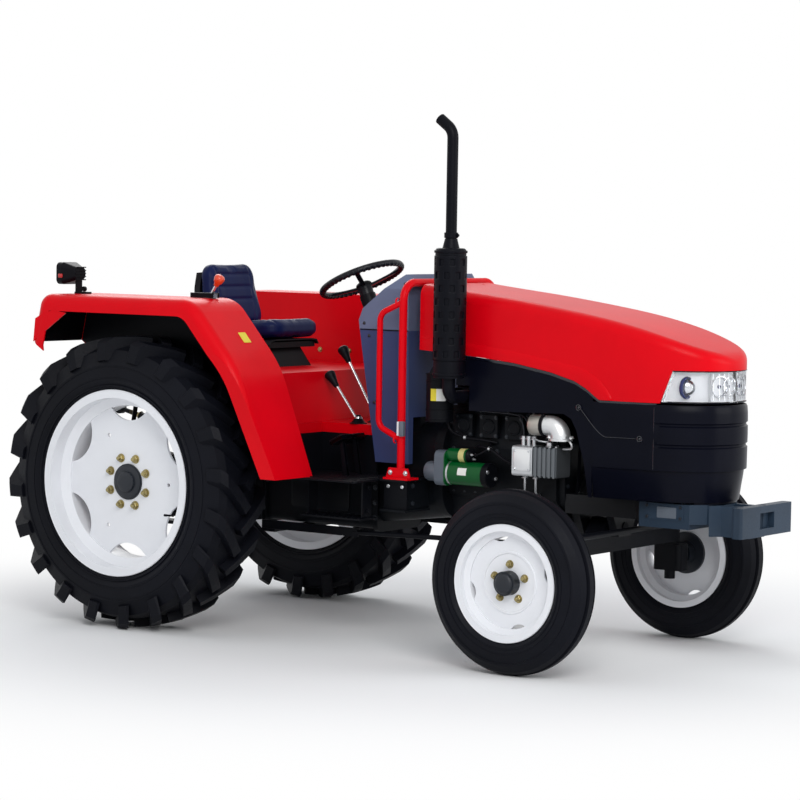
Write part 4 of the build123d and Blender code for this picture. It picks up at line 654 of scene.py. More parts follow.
# A slot in every block of rows and columns; every other row of slots is shifted by half a block.
SLOT_ROWS, SLOT_COLUMNS, SOLID_EDGE = 12, 10, 3
shield = bmesh.new()
grid = []
for r in range(ROWS + 1):
    z = SHIELD_LOW + (SHIELD_HIGH - SHIELD_LOW) * r / ROWS
    angles = [radians(SHIELD_START + SHIELD_TURN * c / COLUMNS) for c in range(COLUMNS + 1)]
    grid.append([shield.verts.new(at(*MUFFLER, z) + Vector((cos(a), sin(a), 0)) * SHIELD_RADIUS / 1000)
                 for a in angles])
for r in range(ROWS):
    for c in range(COLUMNS):
        shift = SLOT_COLUMNS // 2 * (r // SLOT_ROWS % 2)
        in_slot = 3 <= r % SLOT_ROWS <= 8 and 3 <= (c + shift) % SLOT_COLUMNS <= 6
        if not (in_slot and SOLID_EDGE <= c < COLUMNS - SOLID_EDGE):
            shield.faces.new((grid[r][c], grid[r][c + 1], grid[r + 1][c + 1], grid[r + 1][c]))
loose = [v for v in shield.verts if not v.link_faces]
bmesh.ops.delete(shield, geom=loose, context="VERTS")
shield_piece = finish_piece("muffler_shield", shield, exhaust_black, smooth=0.5)
sheet = shield_piece.modifiers.new("sheet", "SOLIDIFY")
sheet.thickness = 0.0018
sheet.offset = -1
with piece("exhaust_clamps", exhaust_black) as bands:
    for z, radius, height in ((1096, 62.5, 10), (1576, 62.5, 10), (1592, 27, 16), (1640, 24.5, 22)):
        end = height / 2
        add_ring(bands, at(*MUFFLER, z), UP,
                 [(-end, radius - 3), (-end, radius + 1.5), (2 - end, radius + 3), (end - 2, radius + 3),
                  (end, radius + 1.5), (end, radius - 3)], 48)
    add_hex(bands, at(MUFFLER[0] + 30, MUFFLER[1], 1640), FORWARD, 6, 6)

# Console: the seam between its upper and lower panels, screws, and the sloping instrument panel.
CONSOLE_Y = 250
with piece("console_seam", dark_plastic) as seam:
    for side in (1, -1):
        y = side * (CONSOLE_Y + 1)
        add_tube(seam, [at(862, y, 1253), at(1098, y, 1253)], 2.4, 8)
with piece("console_screws", dark_iron) as screws:
    for side in (1, -1):
        for x, z in ((880, 1278), (1080, 1278), (1080, 1440), (905, 1228), (1078, 1228), (1078, 960),
                     (936, 960)):
            add_round(screws, at(x, side * (CONSOLE_Y - 0.5), z), LEFT * side,
                      [(0, 7), (1.5, 7), (3.4, 5.2), (4.0, 2.5)], 16)

PANEL_FOOT, PANEL_HEAD = at(874, 0, 1341), at(1048, 0, 1475)
panel_along = (PANEL_HEAD - PANEL_FOOT).normalized()
panel_out = Vector((-panel_along.z, 0, panel_along.x))


def panel_point(y, along, out):
    """A point on the instrument panel, in millimetres to the left, up the slope and out of its middle."""
    return (PANEL_FOOT + PANEL_HEAD) / 2 + (panel_along * along + LEFT * y + panel_out * out) / 1000


with piece("instrument_panel", dark_plastic) as panel:
    add_plate(panel, panel_point(0, 0, 0.5), RIGHT, panel_along, 330, 150, 26, 3, crown=3)
u, v = frame_of(panel_out)
with (piece("dial_rims", chrome) as rims, piece("dial_faces", dark_plastic) as faces,
      piece("dial_marks", white_paint) as marks):
    for y, radius in ((78, 46), (-22, 38)):
        spot = panel_point(y, 12, 4)
        add_ring(rims, spot, panel_out, [(0, radius), (0, radius + 6), (6, radius + 5), (9, radius + 2),
                                         (8, radius - 1), (3, radius - 2)], 48)
        add_round(faces, spot, panel_out, [(0, radius - 1), (2.5, radius - 1), (2.8, radius - 3)], 40)
        # Marks round the scale, then the needle: angle, height, inner and outer end, and half width.
        lines = [(-40 + 26 * i, 3.1, radius - 11, radius - 4, 0.9) for i in range(11)]
        for degrees, height, start, stop, half in lines + [(20, 4.5, -8, radius - 10, 1.1)]:
            a = radians(degrees)
            d = u * cos(a) + v * sin(a)
            ends = [spot + (panel_out * height + d * reach) / 1000 for reach in (start, stop)]
            add_tube(marks, ends, half, 6)
with piece("panel_knobs", dark_plastic) as knobs:
    for y in (-88, -118, -146):
        add_round(knobs, panel_point(y, 30, 4), panel_out,
                  [(0, 11), (3, 11), (4, 7), (12, 7), (14, 10), (22, 10), (24, 7)], 20)
        add_round(knobs, panel_point(y, -28, 4), panel_out, [(0, 9), (4, 9), (6, 6.5), (9, 3)], 20)

# Guard frame: weld beads, foot bolts, a bare plate in its clip, and a bolted cover on each bracket.
GUARD_Y = 322
with piece("guard_welds", red_paint) as welds:
    for side in (1, -1):
        for z in (822, 1372):
            add_ring(welds, at(1095, side * GUARD_Y, z), FORWARD, [(0, 12.5), (0, 16), (6, 13)], 24)
with piece("guard_bolts", zinc) as bolts:
    for side in (1, -1):
        for x in (1078, 1146):
            add_hex(bolts, at(x, side * GUARD_Y, 673), UP, 8.5, 8)
with piece("guard_plate", white_paint) as plate:
    add_plate(plate, at(1122, -338.8, 868), FORWARD, UP, 15, 56, 3, 1.0)
with piece("guard_clip", grey_iron) as clip:
    add_plate(clip, at(1141, -334, 868), FORWARD, UP, 22, 60, 5, 14, crown=2)
with piece("bracket_covers", black_paint) as covers, piece("bracket_bolts", steel) as bolts:
    for side in (1, -1):
        add_plate(covers, at(1112, side * 334, 600), BACKWARD * side, UP, 112, 116, 6, 4)
        for x, y, z in ((1078, 336, 636), (1146, 336, 636), (1088, 342, 692), (1162, 342, 692)):
            add_hex(bolts, at(x, side * y, z), LEFT * side, 8, 7)

# Steering wheel: a domed cap, and finger swellings round the rim.
WHEEL_CENTRE = at(679, 0, 1448)
WHEEL_LEAN = radians(25)
RIM_RADIUS_M = 0.172
FINGERS = 48
wheel_axis = Vector((-sin(WHEEL_LEAN), 0, cos(WHEEL_LEAN)))
with piece("steering_cap", dark_plastic, "steering_wheel") as cap:
    add_round(cap, WHEEL_CENTRE - wheel_axis * 0.032, wheel_axis,
              [(0, 33), (6, 34), (12, 31), (17, 23), (19, 10)], 40)
u, v = frame_of(wheel_axis)
with piece("steering_grip", wheel_grip, "steering_wheel") as grip:
    for i in range(FINGERS):
        a = 2 * pi * (i + 0.5) / FINGERS
        d = u * cos(a) + v * sin(a)
        round_rim = wheel_axis.cross(d)
        add_round(grip, WHEEL_CENTRE + d * RIM_RADIUS_M - round_rim * 0.006 - wheel_axis * 0.0022, round_rim,
                  [(0, 11.6), (2.5, 13.3), (6, 13.8), (9.5, 13.3), (12, 11.6)], 16)

# Tail lamps, and the bolts that hold each fender to the deck along its inner wall.
REAR_FACE = Vector((-0.978, 0, 0.209))
for side, side_name in SIDES:
    spot = at(-443.5, side * 640, 1255)
    with piece(f"tail_bezel_{side_name}", dark_plastic) as bezel:
        add_ring(bezel, spot, REAR_FACE, [(-3, 34), (-3, 46), (3, 46), (6, 43), (6.5, 38), (4, 35)], 40)
    with piece(f"tail_lens_{side_name}", red_lens) as lens:
        add_round(lens, spot, REAR_FACE, [(-2, 37), (3, 37), (6, 33), (8, 25), (9, 12)], 40)
    with piece(f"fender_bolts_{side_name}", zinc) as bolts:
        for x, z in ((-50, 1120), (110, 1120), (270, 1120), (430, 1120), (570, 1085)):
            add_hex(bolts, at(x, side * 469, z), RIGHT * side, 9, 7)

# A bare tag on the front of the right fender.
FENDER_SLOPE, FENDER_OUT = Vector((-236, 0, 266)), Vector((0.748, 0, 0.664))
with piece("fender_tag", tag_yellow) as tag:
    add_plate(tag, at(528.5, -583, 1213.5) + FENDER_OUT * 0.0004, LEFT, FENDER_SLOPE, 46, 52, 3, 0.9)

# Work lamp: a clear lens in a chrome bowl facing the rear, cooling ribs on its front.
WORK_LAMP = at(-410, -620, 1450)
with piece("work_lamp_lens", lens_glass) as face:
    loft(face, [[WORK_LAMP + Vector((d, y * k / 1000, z * k / 1000)) for y, z in rounded(96, 76, 16)]
                for d, k in ((0.002, 1.0), (-0.002, 1.0), (-0.005, 0.93))])
with piece("work_lamp_bowl", chrome) as bowl:
    add_round(bowl, WORK_LAMP + FORWARD * 0.0012, BACKWARD, [(0, 34), (0.9, 34), (1.4, 31)], 32)
with piece("work_lamp_ribs", dark_plastic) as ribs:
    for i in range(5):
        add_plate(ribs, at(-326, -620, 1424 + i * 13), LEFT, UP, 62, 4.5, 2, 5)
    add_round(ribs, at(-334, -591, 1385), LEFT, [(0, 11), (10, 11), (12, 8)], 16)
with piece("work_lamp_side_lens", red_lens) as flash:
    add_plate(flash, at(-386, -676.5, 1440), FORWARD, UP, 24, 16, 4, 2.0, crown=1.5)

# Ribbed mats on the footboards, tread bars on the steps, and a round edge along each footboard.
for side, side_name in SIDES:
    with piece(f"floor_mat_{side_name}", dark_plastic) as mat:
        for i in range(9):
            add_plate(mat, at(825, side * (236 + i * 31), 663.2), FORWARD, LEFT, 400, 9, 4, 2.4, crown=1.5)
    with piece(f"step_treads_{side_name}", black_paint) as bars:
        for i in range(10):
            add_plate(bars, at(751 + i * 29, side * 400, 507), FORWARD, LEFT, 8, 104, 3.5, 4, crown=2)
        for x, out in ((738, BACKWARD), (1022, FORWARD)):
            for z in (536, 630):
                add_hex(bars, at(x, side * 400, z), out, 9, 7)
    with piece(f"floor_edge_{side_name}", black_paint) as edge:
        add_tube(edge, [at(612, side * 519, 659), at(1034, side * 519, 659)], 4.6, 10)

# Knobs over the levers' ends, from the top of each lever and the point below it.
GRIP_PROFILE = ((0, 0.55), (2.5, 0.8), (8, 1), (16, 1.03), (30, 0.86))
for name, end, low, length, widest, material in (
        ("gear_knob", (637, -60, 1148), (745, -60, 977), 70, 22.5, dark_plastic),
        ("range_knob", (656, -172, 1049), (798, -172, 870), 70, 22.5, dark_plastic),
        ("hitch_knob", (372, -560, 1440), (330, -560, 1373), 46, 21, orange_red)):
    d = (at(*end) - at(*low)).normalized()
    profile = GRIP_PROFILE + ((length * 0.8, 0.58), (length, 0.5), (length + 4, 0.38))
    with piece(name, material) as knob:
        add_round(knob, at(*end) + d * 0.021, -d, [(along, widest * k) for along, k in profile], 24)
with piece("lever_boots", dark_plastic) as boots:
    for x, y, radius in ((815, -60, 34), (800, -172, 28)):
        profile = [(0, radius + 8), (3, radius + 8)]
        for i in range(5):
            fold = radius * (1 - i * 0.13)
            profile += [(4 + i * 5.4, fold + 2.5), (7 + i * 5.4, fold - 2.5)]
        add_round(boots, at(x, y, 862), UP, profile + [(32, 10), (36, 8)], 32)
with piece("hitch_gate", dark_plastic) as gate:
    for y in (-578.5, -541.5):
        add_plate(gate, at(300, y, 1367), FORWARD, LEFT, 120, 6, 2, 20)
    add_plate(gate, at(300, -560, 1385), FORWARD, LEFT, 112, 34, 8, 1.6)

# Pedals: a ribbed pad on each plate, and a channel-shaped arm down to the floor.
PEDAL_LEAN = radians(28)
up_pad = Vector((cos(PEDAL_LEAN), 0, sin(PEDAL_LEAN)))
off_pad = Vector((-sin(PEDAL_LEAN), 0, cos(PEDAL_LEAN)))
with piece("pedal_pads", dark_plastic) as pads, piece("pedal_arms", black_paint) as arms:
    for y in (262, -252, -338):
        centre = at(838, y, 806) + off_pad * 0.0062
        add_plate(pads, centre, up_pad, LEFT, 68, 78, 6, 4, crown=2)
        for i in range(5):
            spot = centre + up_pad * (i * 12 - 24) / 1000 + off_pad * 0.0045
            add_plate(pads, spot, up_pad, LEFT, 5, 64, 2, 3)
        for dy in (-6.8, 6.8):
            cheek = [at(x, y + dy, z) for x, z in ((857, 664), (877, 664), (852, 801), (837, 801))]
            add_prism(arms, cheek, RIGHT * 0.0012, LEFT * 0.0012)
        web = [at(x, y, z) for x, z in ((856, 664), (854.8, 664), (835.6, 801), (837.2, 801))]
        add_prism(arms, web, RIGHT * 0.008, LEFT * 0.008)
        add_plate(arms, centre - off_pad * 0.0132, LEFT, up_pad, 74, 64, 5, 1.2)

# Nose skin: it bulges between its grooves, steps in at the chin ridge and narrows to its foot.
# Heights, each with how far the skin lies inside the outline there.
NOSE_ROWS = ((648, 20), (655, 18), (700, 12), (745, 5), (760, 3.5), (766, 3), (768, -7), (780, -7.5),
             (800, -7.5), (853, -8), (858, -2), (864, -2), (869, -8), (900, -8.5), (933, -8), (938, -2),
             (944, -2), (949, -8), (985, -7), (1008, -5), (1017, 0))
SKIN_THICK = 5
SKIN_COLUMNS = 96
# Shares of the way round: where the skin begins and ends, and over how much it swells to its full width.
SKIN_START, SKIN_END, SWELL_WIDTH = 0.056, 0.944, 0.12
# Where the grooves begin, and over how much they deepen.
GROOVE_START, GROOVE_FADE = 0.185, 0.012
FULL_SWELL = 8


def nose_row(z, inset, thick):
    """Points round the nose at one height; the grooves fade out on the flat sides behind the lamps."""
    ring = []
    for i in range(SKIN_COLUMNS + 1):
        share = SKIN_START + (SKIN_END - SKIN_START) * i / SKIN_COLUMNS
        edge = min(share, 1 - share)
        depth = inset
        if -3 < inset < 0:
            in_front = min(1.0, max(0.0, (edge - GROOVE_START) / GROOVE_FADE))
            depth = (inset + FULL_SWELL) * in_front - FULL_SWELL
        if depth < 0:
            depth *= min(1.0, max(0.0, (edge - SKIN_START) / SWELL_WIDTH))
        ring.append(nose_point(share, depth + thick, z)[0])
    return ring


skin = bmesh.new()
outer, inner = [[[skin.verts.new(p) for p in nose_row(z, inset, thick)] for z, inset in NOSE_ROWS]
                for thick in (0, SKIN_THICK)]
# Each pair of neighbouring rows is joined: outside, inside, and along the lower and upper edge.
pairs = list(zip(outer, outer[1:])) + [(high, low) for low, high in zip(inner, inner[1:])]
for low, high in pairs + [(inner[0], outer[0]), (outer[-1], inner[-1])]:
    for i in range(SKIN_COLUMNS):
        skin.faces.new((low[i], low[i + 1], high[i + 1], high[i]))
for r in range(len(NOSE_ROWS) - 1):
    for k in (0, -1):
        skin.faces.new((outer[r][k], outer[r + 1][k], inner[r + 1][k], inner[r][k]))
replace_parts(finish_piece("nose_skin", skin, nose_black, smooth=0.5), "nose_grille")

# The chin plate under the nose.
with piece("nose_chin", nose_black) as chin:
    loft(chin, [[nose_point(0.30 + 0.40 * i / 40, 26, z)[0] for i in range(41)] for z in (640.2, 650.2)])

# Hood: a shallow flare along its lower edge, and the bead of the side panel below it. Stations and heights.
HOOD_LOW = ((1166, 1182), (1300, 1174), (1449, 1164), (1618, 1148), (1785, 1120), (1895, 1091), (1950, 1063),
            (2005, 1023.5), (2080, 1023.5), (2244, 1023.5))
FLARE_TOP = ((1166, 1238), (1300, 1230), (1449, 1212), (1618, 1192), (1785, 1167), (1895, 1149), (1950, 1135),
             (2005, 1100), (2040, 1060), (2062, 1030))
SEAM_LINE = ((1925, 985), (1990, 915), (2030, 886), (2060, 884), (2110, 884), (2165, 884))
NOSE_JOINT_X = 2238


def value_on(line, x):
    """The second value of a line of points at a station."""
    for (x0, z0), (x1, z1) in zip(line, line[1:]):
        if x <= x1:
            return z0 + (z1 - z0) * (x - x0) / (x1 - x0)
    return line[-1][1]


def side_y(x):
    """Half the hood's width at a station."""
    return value_on(((0, 262),) + NOSE_OUTLINE, x)


def skin_y(x):
    """Half the width over the nose skin, which stands proud of the side panels towards the front."""
    share = value_on([(station, i / 18) for i, (station, _) in enumerate(NOSE_OUTLINE[:5])], x)
    return side_y(x) + FULL_SWELL * min(1.0, max(0.0, (share - SKIN_START) / SWELL_WIDTH))


def side_strip(bm, side, start, stop, steps, section):
    """A strip along the hood's side; its section gives offsets from the side with heights, at a station."""
    stations = [start + (stop - start) * i / steps for i in range(steps + 1)]
    loft(bm, [[at(x, side * (side_y(x) + y), z) for y, z in section(x)] for x in stations])


def flare_section(x):
    """The hood's flare at a station."""
    low = value_on(HOOD_LOW, x) + 0.5
    high = max(value_on(FLARE_TOP, x), low + 6)
    return ((-3, low), (3.4, low), (4.2, low + 4), (4.0, low + (high - low) * 0.55), (2.2, high - 6),
            (0.1, high), (-3, high))


def bead_section(x):
    """The side panel's bead, under the hood's edge, at a station."""
    top = value_on(HOOD_LOW, x) - 1.2
    return ((-9, top), (0.5, top), (1.8, top - 3), (1.2, top - 8), (-0.5, top - 11), (-9, top - 11))


for side, side_name in SIDES:
    with piece(f"hood_flare_{side_name}", red_paint, "hood", smooth=0.7) as flare:
        side_strip(flare, side, 1168, 2058, 80, flare_section)
    with piece(f"panel_bead_{side_name}", gloss_black, smooth=0.7) as bead:
        side_strip(bead, side, 1345, 2243, 100, bead_section)
    # A pressed line ahead of the panel's cut-out, and the joint between the nose moulding and the side.
    with piece(f"panel_line_{side_name}", gloss_black) as seam:
        add_hose(seam, [(x, side * (skin_y(x) + 0.4), z) for x, z in SEAM_LINE], 2.2, 8, steps=5)
        y = side * (skin_y(NOSE_JOINT_X) + 0.2)
        add_tube(seam, [at(NOSE_JOINT_X, y, 772), at(NOSE_JOINT_X, y, 1006)], 1.6, 8)
    with piece(f"panel_studs_{side_name}", gloss_black) as studs:
        for x, z in ((1915, 990), (2182, 884)):
            add_ring(studs, at(x, side * skin_y(x), z), LEFT * side,
                     [(-4, 8), (2.5, 8), (3.5, 10), (2.5, 12.5), (-4, 12.5)], 28)
            add_hex(studs, at(x, side * (skin_y(x) - 1), z), LEFT * side, 5, 4)

# Black sheets inside the fenders, painted shade where they lie in shadow, and the closed corner at their
# rear. Stations and heights.
CROWN_LINE = ((-452, 1165), (-412, 1345), (-396, 1357), (-370, 1359), (290, 1359), (372, 1350), (430, 1318),
              (500, 1240), (560, 1155), (610, 1062), (660, 962), (720, 832), (790, 672))
INNER_WALL = ((-440, 1168), (-404, 1345), (-370, 1357), (290, 1357), (372, 1347), (428, 1314), (498, 1236),
              (556, 1152), (606, 1060), (656, 960), (716, 830), (784, 674), (560, 674), (420, 742),
              (-150, 980))
CORNER = ((-446, 1166), (-388, 1206), (-265, 1290), (-330, 1298), (-384, 1290), (-436, 1262))
# The fender keeps its full width down to a height, and narrows below it.
FENDER_Y, NARROW_BELOW, NARROWING = 767, 1150, 0.126
for side, side_name in SIDES:
    rings = []
    for i, (x, z) in enumerate(CROWN_LINE):
        back, ahead = CROWN_LINE[max(i - 1, 0)], CROWN_LINE[min(i + 1, len(CROWN_LINE) - 1)]
        d = Vector((ahead[0] - back[0], 0, ahead[1] - back[1])).normalized()
        inward = Vector((d.z, 0, -d.x))
        outer_y = FENDER_Y - NARROWING * max(0, NARROW_BELOW - z)
        # Across the crown, then down inside its outer edge; the sheet goes out along one face and back.
        section = ((477.5, 0), (outer_y - 34, 0), (outer_y - 12, 12), (outer_y, 36))
        ring = [(y, drop + 4.5) for y, drop in section] + [(y - 1.2, drop + 6) for y, drop in section[::-1]]
        rings.append([at(x, side * y, z) + inward * depth / 1000 for y, depth in ring])
    # A black sheet under the fender's crown and along its inner wall: painted shade.
    with piece(f"fender_painted_shade_{side_name}", black_paint, smooth=0.7) as painted_shade:
        loft(painted_shade, rings)
        add_prism(painted_shade, [at(x, side * 477, z - 4) for x, z in INNER_WALL], (0, 0, 0), LEFT * side * 0.0015)
    with piece(f"fender_corner_{side_name}", red_paint) as corner:
        add_prism(corner, [at(x, side * 769.4, z) for x, z in CORNER], (0, 0, 0), LEFT * side * 0.0052)

# Engine's right side: steel pipes from the pump's outlets to the ports between the water jackets.
PUMP_Y = -205
with piece("injection_pipes", dark_iron) as pipes, piece("pump_unions", steel) as unions:
    for x, port in ((1630, 1375), (1655, 1495), (1680, 1615)):
        add_hose(pipes, [(x, PUMP_Y, 848), (x, PUMP_Y, 884), (x - 12, -204, 920), (x - 44, -196, 942),
                         (port + 34, -178, 946), (port + 8, -160, 948), (port, -118, 949)], 3.2, 10)
        add_hex(unions, at(x, PUMP_Y, 850), UP, 10.5, 13)
        add_hex(unions, at(port, -124, 949), RIGHT, 9, 16)
    # Fuel lines below the pump, down to the sump rail.
    for x in (1640, 1690):
        add_hose(unions, [(x, PUMP_Y, 712), (x, PUMP_Y, 668), (x - 6, -190, 640), (x - 20, -140, 626)], 5, 12)
        add_hex(unions, at(x, PUMP_Y, 698), UP, 11, 12)
# Hoses along the block, clipped at their middles.
with piece("engine_hoses", dark_plastic) as hoses:
    add_hose(hoses, [(1400, -148, 800), (1404, -190, 806), (1470, -204, 800), (1530, -200, 765),
                     (1575, -202, 752), (1614, -204, 770)], 7, steps=7)
    add_hose(hoses, [(1262, -200, 905), (1280, -196, 862), (1340, -186, 838), (1410, -178, 832),
                     (1470, -150, 822)], 6, steps=7)
with piece("hose_clips", steel) as clips:
    for spot, d in (((1470, -204, 800), (1, -0.1, -0.2)), ((1606, -204, 766), (1, 0, 0.3)),
                    ((1340, -186, 838), (1, 0.2, -0.1))):
        add_ring(clips, at(*spot), d, [(-5, 6), (-5, 8.6), (5, 8.6), (5, 6)], 24)

# Round core plugs on the water jackets, and bolts on the jackets, manifold, head, sump and housings.
CYLINDERS = 4
JACKET_Y, MANIFOLD_Y = -161.5, -140.3
with piece("core_plugs", casting_black) as plugs:
    for n in range(CYLINDERS):
        add_round(plugs, at(1315 + 120 * n, JACKET_Y, 885), RIGHT,
                  [(0, 30), (3, 30), (5, 28), (5, 24), (2.4, 21), (2.0, 6)], 32)
with piece("engine_bolts", dark_iron) as bolts:
    for n in range(CYLINDERS):
        jacket, manifold, head = 1315 + 120 * n, 1310 + 130 * n, 1330 + 105 * n
        for dx in (-34, 34):
            hexes(bolts, [(jacket + dx, JACKET_Y, 922), (jacket + dx, JACKET_Y, 849)], RIGHT, 7, 5)
        hexes(bolts, [(manifold - 17, MANIFOLD_Y, 1024), (manifold + 17, MANIFOLD_Y, 986)], RIGHT, 8, 7)
        hexes(bolts, [(head, -104, 1050), (head, 104, 1050)], UP, 10, 9)
    for side in (1, -1):
        hexes(bolts, [(1265 + 52 * n, side * 145, 619) for n in range(9)], (0, side * 0.94, -0.34), 7, 6)
        # The starter and the pump cover two of them on the right.
        rail = (0, 1, 2, 3, 4) if side > 0 else (0, 2, 4)
        hexes(bolts, [(1262 + 104 * n, side * 150, 788) for n in rail], LEFT * side, 8, 6)
    for n in range(12):
        a = radians(30 * n + 15)
        hexes(bolts, [(1780, 118 * cos(a), 710 + 165 * sin(a))], FORWARD, 7.5, 6)
with piece("rocker_nuts", steel) as rocker:
    hexes(rocker, [(1350, 0, 1121), (1490, 0, 1121), (1630, 0, 1121)], UP, 12, 10)
    add_round(rocker, at(1405, 22, 1120), UP, [(0, 24), (12, 24), (14, 28), (24, 28), (27, 24), (28, 10)], 28)
with piece("block_cover", casting_black) as cover:
    add_plate(cover, at(1490, 151.5, 716), BACKWARD, UP, 440, 118, 14, 5, crown=2)

# Bright elbow: its turned neck, the clamp, and the flange that it stands on.
with piece("elbow_neck", brushed) as neck:
    add_round(neck, at(1690, -240, 912), FORWARD,
              [(0, 34), (2, 39), (6, 41.5), (56, 41.5), (56, 39), (30, 38)], 44)
with piece("elbow_clamp", dark_plastic) as clamp:
    add_ring(clamp, at(1752, -240, 912), FORWARD,
             [(-7, 39), (-7, 43.2), (-5, 44.4), (5, 44.4), (7, 43.2), (7, 39)], 48)
    add_hex(clamp, at(1752, -262, 951), FORWARD, 6, 9)
with piece("elbow_flange", aluminium) as flange:
    add_ring(flange, at(1822, -240, 862), UP, [(-6, 24), (-6, 47), (2, 47), (4, 44), (4, 24)], 44)
    hexes(flange, [(1782, -258, 866), (1862, -222, 866)], UP, 8, 9)
    add_hose(flange, [(1862, -240, 858), (1874, -240, 840), (1866, -236, 826), (1826, -226, 822)], 4, 10,
             steps=5)

# Starter: grey nose, cream band and black end on the solenoid, terminals, a cable.
STARTER_Y, STARTER_Z, SOLENOID_Z = -217, 697, 768
with piece("starter_nose", grey_iron) as cone:
    add_round(cone, at(1241.5, STARTER_Y, STARTER_Z), BACKWARD,
              [(0, 40), (44, 40), (54, 37), (60, 28), (61, 12)], 40)
with piece("solenoid_band", tag_cream) as band:
    add_ring(band, at(1346, STARTER_Y, SOLENOID_Z), FORWARD, [(0, 26), (0, 27.9), (26, 27.9), (26, 26)], 44)
with piece("starter_end", black_paint) as ends:
    add_round(ends, at(1379.5, STARTER_Y, SOLENOID_Z), FORWARD,
              [(0, 26), (8, 26), (12, 23), (20, 22), (22, 14)], 36)
    add_ring(ends, at(1466, STARTER_Y, STARTER_Z), FORWARD, [(0, 46), (0, 49), (24, 49), (27, 46)], 48)
with piece("starter_studs", steel) as studs:
    for dy, dz in ((-12, 6), (12, 4), (0, -12)):
        add_round(studs, at(1400, STARTER_Y + dy, SOLENOID_Z + dz), FORWARD,
                  [(0, 6.5), (5, 6.5), (5.5, 3.2), (14, 3.2)], 14)
    hexes(studs, [(1490, STARTER_Y - 30, 712), (1490, STARTER_Y + 30, 682)], FORWARD, 7, 5)
    add_ring(studs, at(1300, STARTER_Y, STARTER_Z), FORWARD, [(0, 46), (0, 47.8), (8, 47.8), (8, 46)], 48)
with piece("starter_cable", dark_plastic) as cable:
    add_hose(cable, [(1412, STARTER_Y - 12, 774), (1440, STARTER_Y - 12, 780), (1462, -200, 800),
                     (1450, -165, 815), (1440, -146, 812)], 4.5, 10)

# Canister: rolled beads. Bare tags lie on it and on the starter.
CANISTER = (1255, -245)
with piece("canister_beads", black_paint) as beads:
    for z in (908, 948, 1062, 1084):
        add_ring(beads, at(*CANISTER, z), UP, [(-3, 53), (-1.5, 57), (1.5, 57), (3, 53)], 40)


def wrap_patch(bm, centre, along, across, radius, start, stop, half, thick=0.5, steps=12):
    """A thin curved plate on a round surface between two angles, which run from the across direction."""
    low, high = radius - 0.3, radius + thick
    rings = []
    for i in range(steps + 1):
        a = radians(start + (stop - start) * i / steps)
        d = across * cos(a) + along.cross(across) * sin(a)
        rings.append([centre + (d * r + along * s) / 1000 for r, s in
                      ((low, -half), (high, -half), (high, half), (low, half))])
    loft(bm, rings)


with piece("bare_tags", tag_white) as tags:
    wrap_patch(tags, at(1378, STARTER_Y, STARTER_Z), FORWARD, LEFT, 47, 148, 184, 21)
    wrap_patch(tags, at(*CANISTER, 1008), UP, FORWARD, 55, -70, -30, 24)
with piece("bare_tag_yellow", tag_yellow) as tags:
    wrap_patch(tags, at(*CANISTER, 1008), UP, FORWARD, 55, -96, -70, 24)

# Pump: a cover plate with its screws, and the throttle lever on its shaft.
with piece("pump_cover", aluminium) as cover:
    add_plate(cover, at(1659, -260.2, 772), FORWARD, UP, 78, 84, 8, 3, crown=1)
with piece("pump_fittings", steel) as fittings:
    hexes(fittings, [(1659 + dx, -262.5, 772 + dz) for dx in (-33, 33) for dz in (-36, 36)], RIGHT, 5, 4)
    hexes(fittings, [(1770, -232, 826), (1770, -178, 826), (1800, -232, 826)], UP, 7, 6)
    add_round(fittings, at(1752, PUMP_Y, 821), UP, [(0, 18), (8, 18), (10, 14), (22, 13), (25, 8)], 24)
    add_tube(fittings, [at(1752, PUMP_Y, 843), at(1716, -226, 848), at(1700, -244, 858)], 4, 10)

# Belt drive between the crankshaft, the fan and a small dynamo on the left.
BELT_X = 1800
with piece("fan_pulleys", black_paint) as pulleys:
    for y, z, radius in ((0, 640, 72), (0, 880, 58), (165, 800, 36)):
        add_ring(pulleys, at(BELT_X, y, z), FORWARD,
                 [(-12, 14), (-12, radius), (-8, radius), (-2, radius - 10), (2, radius - 10), (8, radius),
                  (12, radius), (12, 14)], 40)
    add_round(pulleys, at(1700, 200, 800), FORWARD, [(0, 30), (4, 46), (70, 46), (78, 38), (80, 16)], 36)
    add_round(pulleys, at(1772, 165, 800), FORWARD, [(0, 14), (40, 14)], 16)
    bracket = [at(1735, y, z) for y, z in ((140, 775), (176, 768), (190, 790), (140, 800))]
    add_prism(pulleys, bracket, BACKWARD * 0.012, FORWARD * 0.012)
hull = []
for y, z, radius, start, stop in ((165, 800, 34, -44, 62), (0, 880, 54, 62, 184), (0, 640, 68, 184, 316)):
    for i in range(13):
        a = radians(start + (stop - start) * i / 12)
        hull.append((y, z, radius, cos(a), sin(a)))
with piece("fan_belt", rubber) as belt:
    rows = [[belt.verts.new(at(BELT_X + dx, y + (radius + out) * c, z + (radius + out) * s))
             for y, z, radius, c, s in hull] for dx, out in ((-6, 0), (6, 0), (4, 8), (-4, 8))]
    for a, b in zip(rows, rows[1:] + rows[:1]):
        for i in range(len(a)):
            j = (i + 1) % len(a)
            belt.faces.new((a[i], a[j], b[j], b[i]))

# Radiator: core fins on its front, filler cap, top and bottom hoses.
with piece("radiator_fins", radiator_black) as fins:
    for i in range(46):
        add_plate(fins, at(2026.6, 0, 690 + i * 9.6), LEFT, UP, 372, 2.4, 0.6, 1.6)
with piece("radiator_cap", steel) as cap:
    add_round(cap, at(1998, 60, 1186), UP, [(0, 20), (4, 20), (5, 27), (11, 27), (13, 22), (14, 9)], 28)
with piece("radiator_hoses", rubber) as hoses:
    add_hose(hoses, [(1978, -70, 1165), (1920, -70, 1160), (1840, -90, 1080), (1790, -90, 1020),
                     (1728, -80, 1010)], 19, 18, steps=7)
    add_hose(hoses, [(1980, 110, 655), (1915, 110, 655), (1850, 100, 700), (1779, 96, 760)], 17, 18, steps=7)

